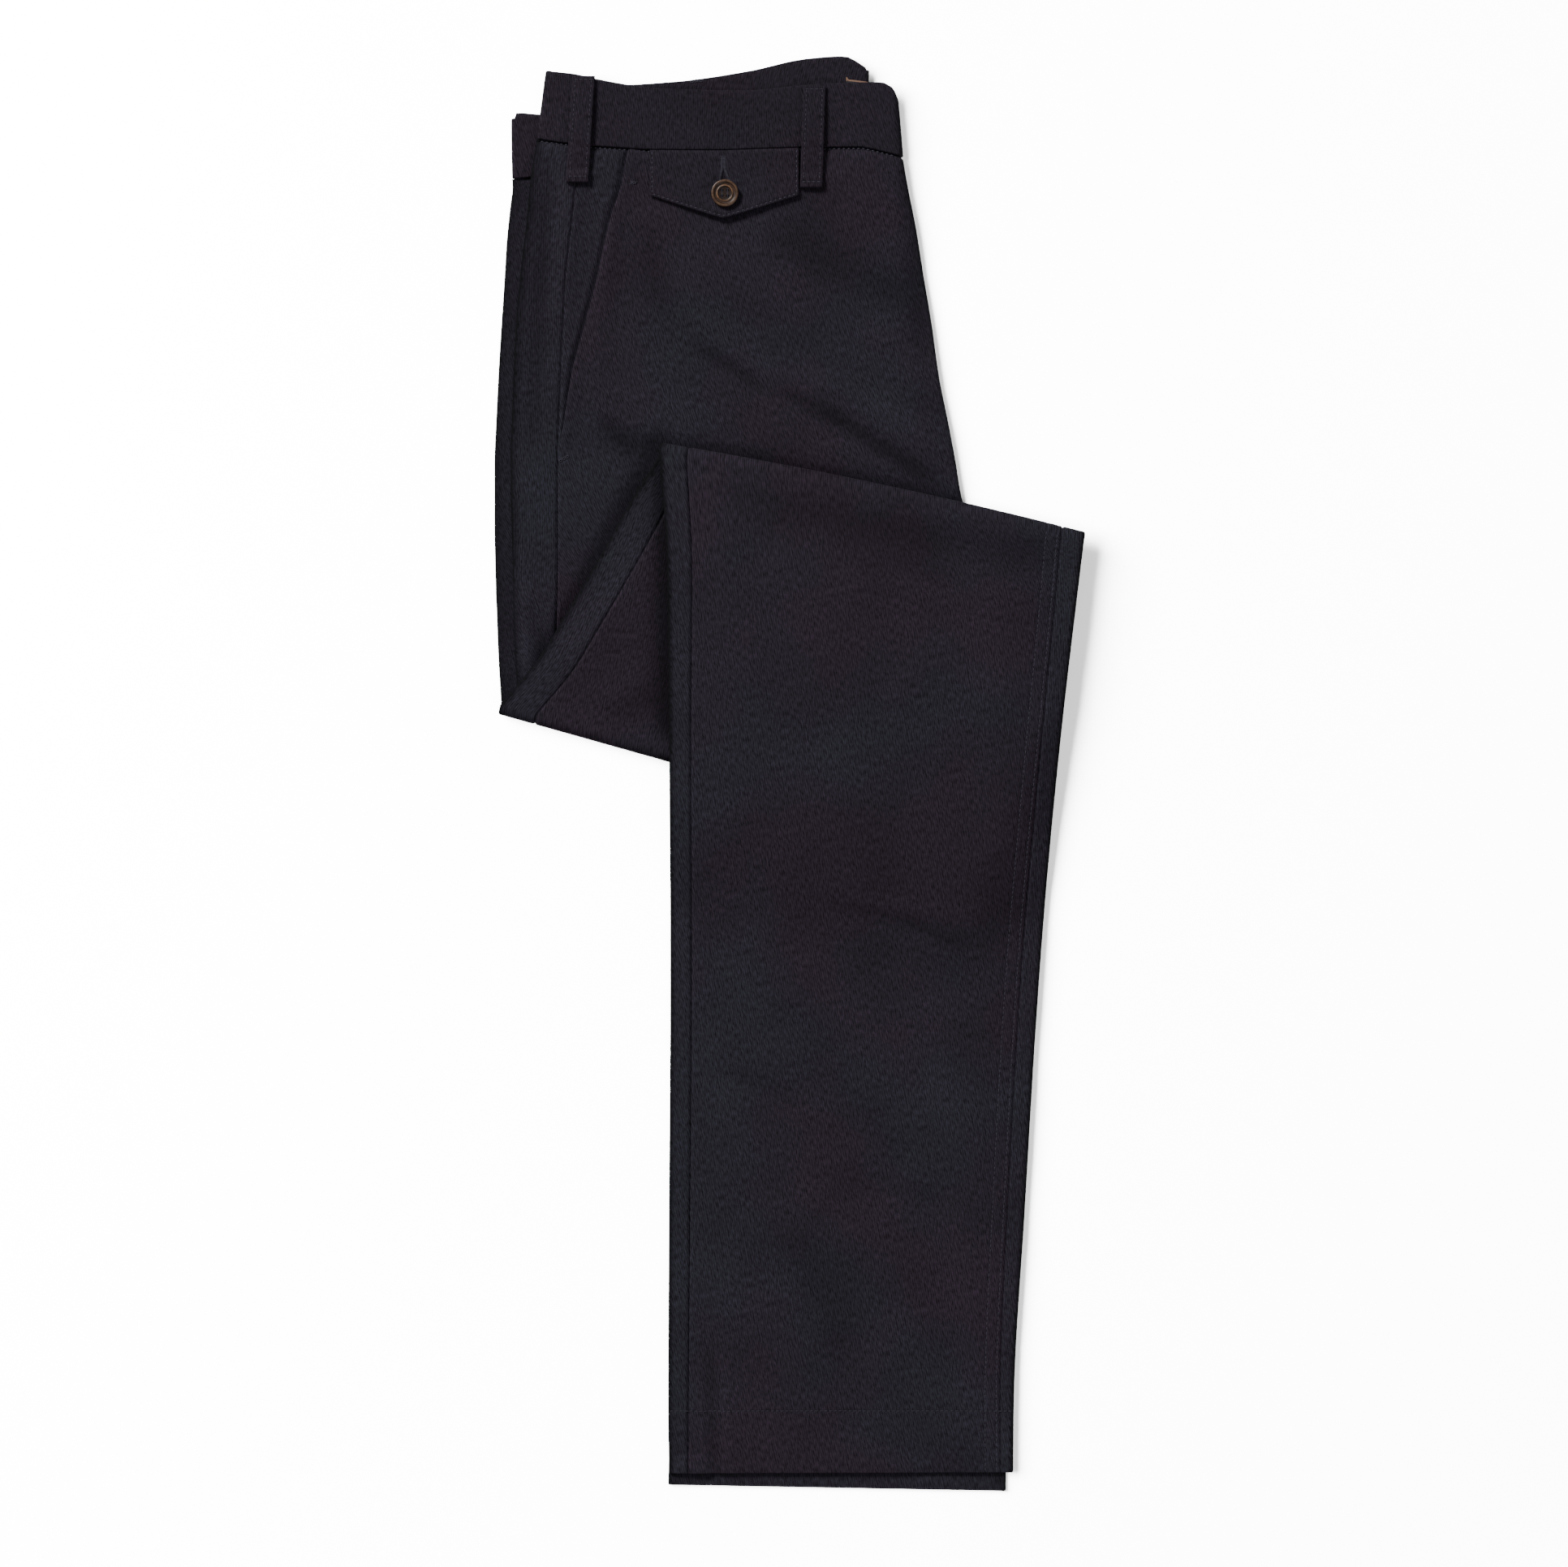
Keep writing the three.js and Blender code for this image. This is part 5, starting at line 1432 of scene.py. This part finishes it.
class TROUSERS_OT_pockets(bpy.types.Operator):
    """Makes the slanted pocket's facing and the coin pocket's flap"""

    bl_idname = "trousers.pockets"
    bl_label = "Pocket facing and flap"

    def execute(self, context):
        declare_cut(*make_facing(), "laid", ["right_back_panel"])
        declare_cut(*make_flap(), "laid", ["right_front_panel"])
        return {"FINISHED"}


class TROUSERS_OT_loops(bpy.types.Operator):
    """Makes the two belt loops that show"""

    bl_idname = "trousers.loops"
    bl_label = "Belt loops"

    def execute(self, context):
        for name, ((_, y0), (_, y1)) in LOOPS.items():
            length = (y0 - y1 + LOOP_TURNED) * MM
            declare(make_loop(name), LOOP_WIDTH * MM, length, None)
        return {"FINISHED"}


class TROUSERS_OT_button(bpy.types.Operator):
    """Turns the button and sews it on through its four holes"""

    bl_idname = "trousers.button"
    bl_label = "Button"

    def execute(self, context):
        x, y = BUTTON_AT
        top = make_button().z / MM + BUTTON_THREAD["rise"]
        reach = HOLE_CIRCLE / 2 * math.sqrt(0.5)
        ends = y + BUTTON_THREAD["half"] * reach * np.array([-1, 1])
        lines = []
        for side in (-1, 1):
            for strand in (-BUTTON_THREAD["apart"], BUTTON_THREAD["apart"]):
                lines.append(upper_line(x + side * reach + strand, ends, top))
        pitch, thickness = 2 * BUTTON_THREAD["half"] * reach * MM, BUTTON_THREAD["thick"] * MM
        stitches("button_thread", lines, pitch, 1.0, thickness)
        return {"FINISHED"}


class TROUSERS_OT_stitching(bpy.types.Operator):
    """Sews the inseams, hems, pocket, waist, flap, buttonhole and belt loops"""

    bl_idname = "trousers.stitching"
    bl_label = "Stitching"

    def execute(self, context):
        sew_legs()
        sew_waist()
        sew_flap()
        sew_loops()
        return {"FINISHED"}


THREAD_PROUD = 0.12  # how far the inseam's thread stands out of its groove
HEM_ENDS = 0.8
DITCH_BELOW, DITCH_SUNK = 0.75, 0.8  # of the waistband's sewing: below its seam and into the cloth
# Bar tacks on the right front: place, length, turn and height over the cloth.
FRONT_TACKS = (
    (-88.0, 328.0, 6.5, 0.02, 0.55),
    (-125.2, 175.4, 6.0, 0.5, 0.3),
)
BACK_TACK = (-51.5, 384.8, 7, 0.1, 0.25)
TACK_WIDTH, TACK_STEP = 1.5, 0.45
LIP_PITCH, LIP_LENGTH = 0.55, 0.9  # of the stitches along the buttonhole


def sew_legs():
    """Two rows beside each inseam and one row round each hem."""
    spans = (
        (ROWS.index["crotch", WAIST], ROWS.index["lower_fold", WAIST], 1),
        (ROWS.index["lower_fold", BACK], ROWS.index["upper_fold", BACK], -1),
        (ROWS.index["upper_fold", SHIN], ROWS.count - 1, 1),
    )
    for leg, facing in (("right", 1), ("left", -1)):
        lines = []
        for first, last, up in spans:
            rows = ROWS.take(np.arange(first, last + 1))
            for at in STITCH_ROWS:
                u = rows.width - rows.inseam - at
                line = place(rows, leg, u, STITCH_DEPTH - THREAD_PROUD)[:, 0] * MM
                lines.append((line, (0, 0, up * facing)))
        stitches(f"{leg}_inseam_stitching", lines)
        rows = ROWS.take(np.array([ROWS.index["hem_stitch", SHIN]]))
        near, far = HEM_ENDS, rows.width[0, 0] - HEM_ENDS
        if leg == "left":
            near, far = near + rows.l0[0, 0], far - rows.l1[0, 0]
        line = place(rows, leg, np.linspace(near, far, 60)[None, :], -0.03)[0] * MM
        stitches(f"{leg}_hem_stitching", [(line, (0, 0, facing))])


def bartack(x, y, z, length, turn):
    """Zigzag of short stitches about a point, as a line for stitches()."""
    count = max(4, int(length / TACK_STEP))
    along = np.linspace(-length / 2, length / 2, count)
    across = np.where(np.arange(count) % 2, TACK_WIDTH / 2, -TACK_WIDTH / 2)
    c, s = math.cos(turn), math.sin(turn)
    return upper_line(x + along * c - across * s, y + along * s + across * c, z)


def sew_waist():
    """The ditch under the waistband, and bar tacks at the pocket opening and the centre back."""
    xs = ROWS.x0[0, 0] + ROWS.run_x[0, 0] * np.linspace(1.5, ROWS.width[0, 0] - 5, 90)
    ys = seam_y(xs) - DITCH_BELOW
    ditch = upper_line(xs, ys, row_height(xs, ys) - DITCH_SUNK)
    stitches("waist_ditch_stitching", [ditch], fill=0.62, thickness=0.0007)
    tacks = []
    for x, y, length, turn, lift in FRONT_TACKS:
        z = float(row_height(np.array([x]), np.array([y]))[0]) + lift
        tacks.append(bartack(x, y, z, length, turn))
    x, y, length, turn, lift = BACK_TACK
    tacks.append(bartack(x, y, BACK_BAND + lift, length, turn))
    stitches("bartacks", tacks, pitch=0.0013, fill=1.1)


def sew_flap():
    """The topstitched edge of the flap and its buttonhole."""
    left, right = FLAP["left"] + FLAP_STITCH, FLAP["right"] - FLAP_STITCH
    xs = np.linspace(left, right, 90)
    low = flap_low(xs) + FLAP_STITCH * UPRIGHT
    side = np.linspace(0, 1, 20)
    outline = (
        (left + 0 * side, mix(seam_y(np.array([left]))[0] - 1, low[0], side)),
        (xs, low),
        (right + 0 * side, mix(low[-1], seam_y(np.array([right]))[0] - 1, side)),
    )
    lines = [upper_line(x, y, flap_surface(x, y) - 0.1) for x, y in outline]
    stitches("flap_stitching", lines, fill=0.6, thickness=0.00055)
    lips = []
    for side in (-1, 1):
        for y in np.arange(HOLE["top"], HOLE["low"] + 1, -LIP_PITCH):
            open_by = hole_open(y)
            near = HOLE["x"] + HOLE["lean"] * open_by + side * (0.2 + 2.4 * open_by)
            x, ys = near + side * LIP_LENGTH * np.arange(2), y + 0.1 * np.arange(2)
            lips.append(upper_line(x, ys, flap_surface(x, ys) + 0.02 - 0.2 * open_by))
    stitches("buttonhole", lips, pitch=0.001, fill=1.1, thickness=0.0004)
    x = np.linspace(HOLE["x"] - 2.0, HOLE["x"] + 2.0, 6)
    y = HOLE["top"] + 1.0 + 0 * x
    stitches("buttonhole_end", [upper_line(x, y, flap_surface(x, y) + 0.05)], pitch=0.0008)


def sew_loops():
    """Both edges of each belt loop, and the tacks at its ends."""
    for name in LOOPS:
        lines = []
        for across in (LOOP_STITCH - LOOP_WIDTH / 2, LOOP_WIDTH / 2 - LOOP_STITCH):
            x, y, z, ply = loop_line(name, np.linspace(0.03, 0.97, 60), across)
            lines.append(upper_line(x, y, z + ply - 0.22))
        for at in (0.035, 0.945):
            x, y, z, ply = loop_line(name, np.full(10, at), np.linspace(-5.4, 5.4, 10))
            lines.append(upper_line(x, y, z + ply + 0.05))
        stitches(name + "_stitching", lines)


TABLE_SIZE = 6
# Lights: place in metres, size, power in watts, and whether they reach the table only.
LIGHTS = (
    ("key_light", (-4.3, 5.0, 4.6), 2.0, 900, False),
    ("fill_light", (1.6, -2.2, 1.8), 1.8, 36, False),
    ("table_wash", (-4.6, 1.6, 3.6), 4.6, 9000, True),
    ("table_fill", (2.0, -1.0, 3.2), 2.2, 160, True),
)
ROOM_LIGHT = 0.26
VIEW_X, VIEW_Y, VIEW_WIDTH = -2.925, -5.175, 869.4  # what the camera frames, at a height
VIEW_HEIGHT = 8
LENS, SENSOR = 85, 36


class TROUSERS_OT_stage(bpy.types.Operator):
    """Adds the white table, the lights and the camera straight above"""

    bl_idname = "trousers.stage"
    bl_label = "Table, lights and camera"

    def execute(self, context):
        bpy.ops.object.select_all(action="DESELECT")
        bpy.ops.mesh.primitive_plane_add(size=TABLE_SIZE, location=(0, 0, 0))
        table = context.active_object
        table.name = "table"
        table.data.materials.append(tabletop())
        table.visible_diffuse = False  # the white table does not brighten the folds beside it
        table.visible_glossy = False
        lit_table = bpy.data.collections.new("table_only")
        lit_table.objects.link(table)
        for name, at, size, power, table_only in LIGHTS:
            bpy.ops.object.light_add(type="AREA", location=at)
            lamp = context.active_object
            lamp.name = name
            lamp.data.size = size
            lamp.data.energy = power
            lamp.rotation_euler = (-Vector(at)).to_track_quat("-Z", "Y").to_euler()
            if table_only:
                lamp.light_linking.receiver_collection = lit_table
        world = bpy.data.worlds.new("studio")
        world.use_nodes = True
        room = world.node_tree.nodes["Background"].inputs
        room["Color"].default_value = (1, 1, 1, 1)
        room["Strength"].default_value = ROOM_LIGHT
        context.scene.world = world
        height = (VIEW_WIDTH * LENS / SENSOR + VIEW_HEIGHT) * MM
        bpy.ops.object.camera_add(location=(VIEW_X * MM, VIEW_Y * MM, height), rotation=(0, 0, 0))
        camera = context.active_object
        camera.name = "camera_above"
        camera.data.lens = LENS
        camera.data.sensor_width = SENSOR
        camera.data.clip_end = 20
        context.scene.camera = camera
        return {"FINISHED"}


class TROUSERS_PT_sidebar(bpy.types.Panel):
    """Lists the pieces of the trousers"""

    bl_idname = "TROUSERS_PT_sidebar"
    bl_label = "Folded trousers"
    bl_space_type = "VIEW_3D"
    bl_region_type = "UI"
    bl_category = "Trousers"

    def draw(self, context):
        for step in STEPS:
            self.layout.operator(step.bl_idname)
        for group in (context.scene.trousers_sizes, context.scene.trousers_colours):
            for name in group.bl_rna.properties.keys():
                if name not in ("name", "rna_type"):
                    self.layout.prop(group, name)


STEPS = (
    TROUSERS_OT_panels,
    TROUSERS_OT_waistband,
    TROUSERS_OT_pockets,
    TROUSERS_OT_loops,
    TROUSERS_OT_button,
    TROUSERS_OT_stitching,
    TROUSERS_OT_stage,
)
CLASSES = (TrousersSizes, TrousersColours, *STEPS, TROUSERS_PT_sidebar)


def register():
    for made in CLASSES:
        bpy.utils.register_class(made)
    bpy.types.Scene.trousers_sizes = bpy.props.PointerProperty(type=TrousersSizes)
    bpy.types.Scene.trousers_colours = bpy.props.PointerProperty(type=TrousersColours)


def unregister():
    del bpy.types.Scene.trousers_colours
    del bpy.types.Scene.trousers_sizes
    for made in reversed(CLASSES):
        bpy.utils.unregister_class(made)


def main():
    register()
    for step in STEPS:
        group, name = step.bl_idname.split(".")
        getattr(getattr(bpy.ops, group), name)()


if __name__ == "__main__":
    main()
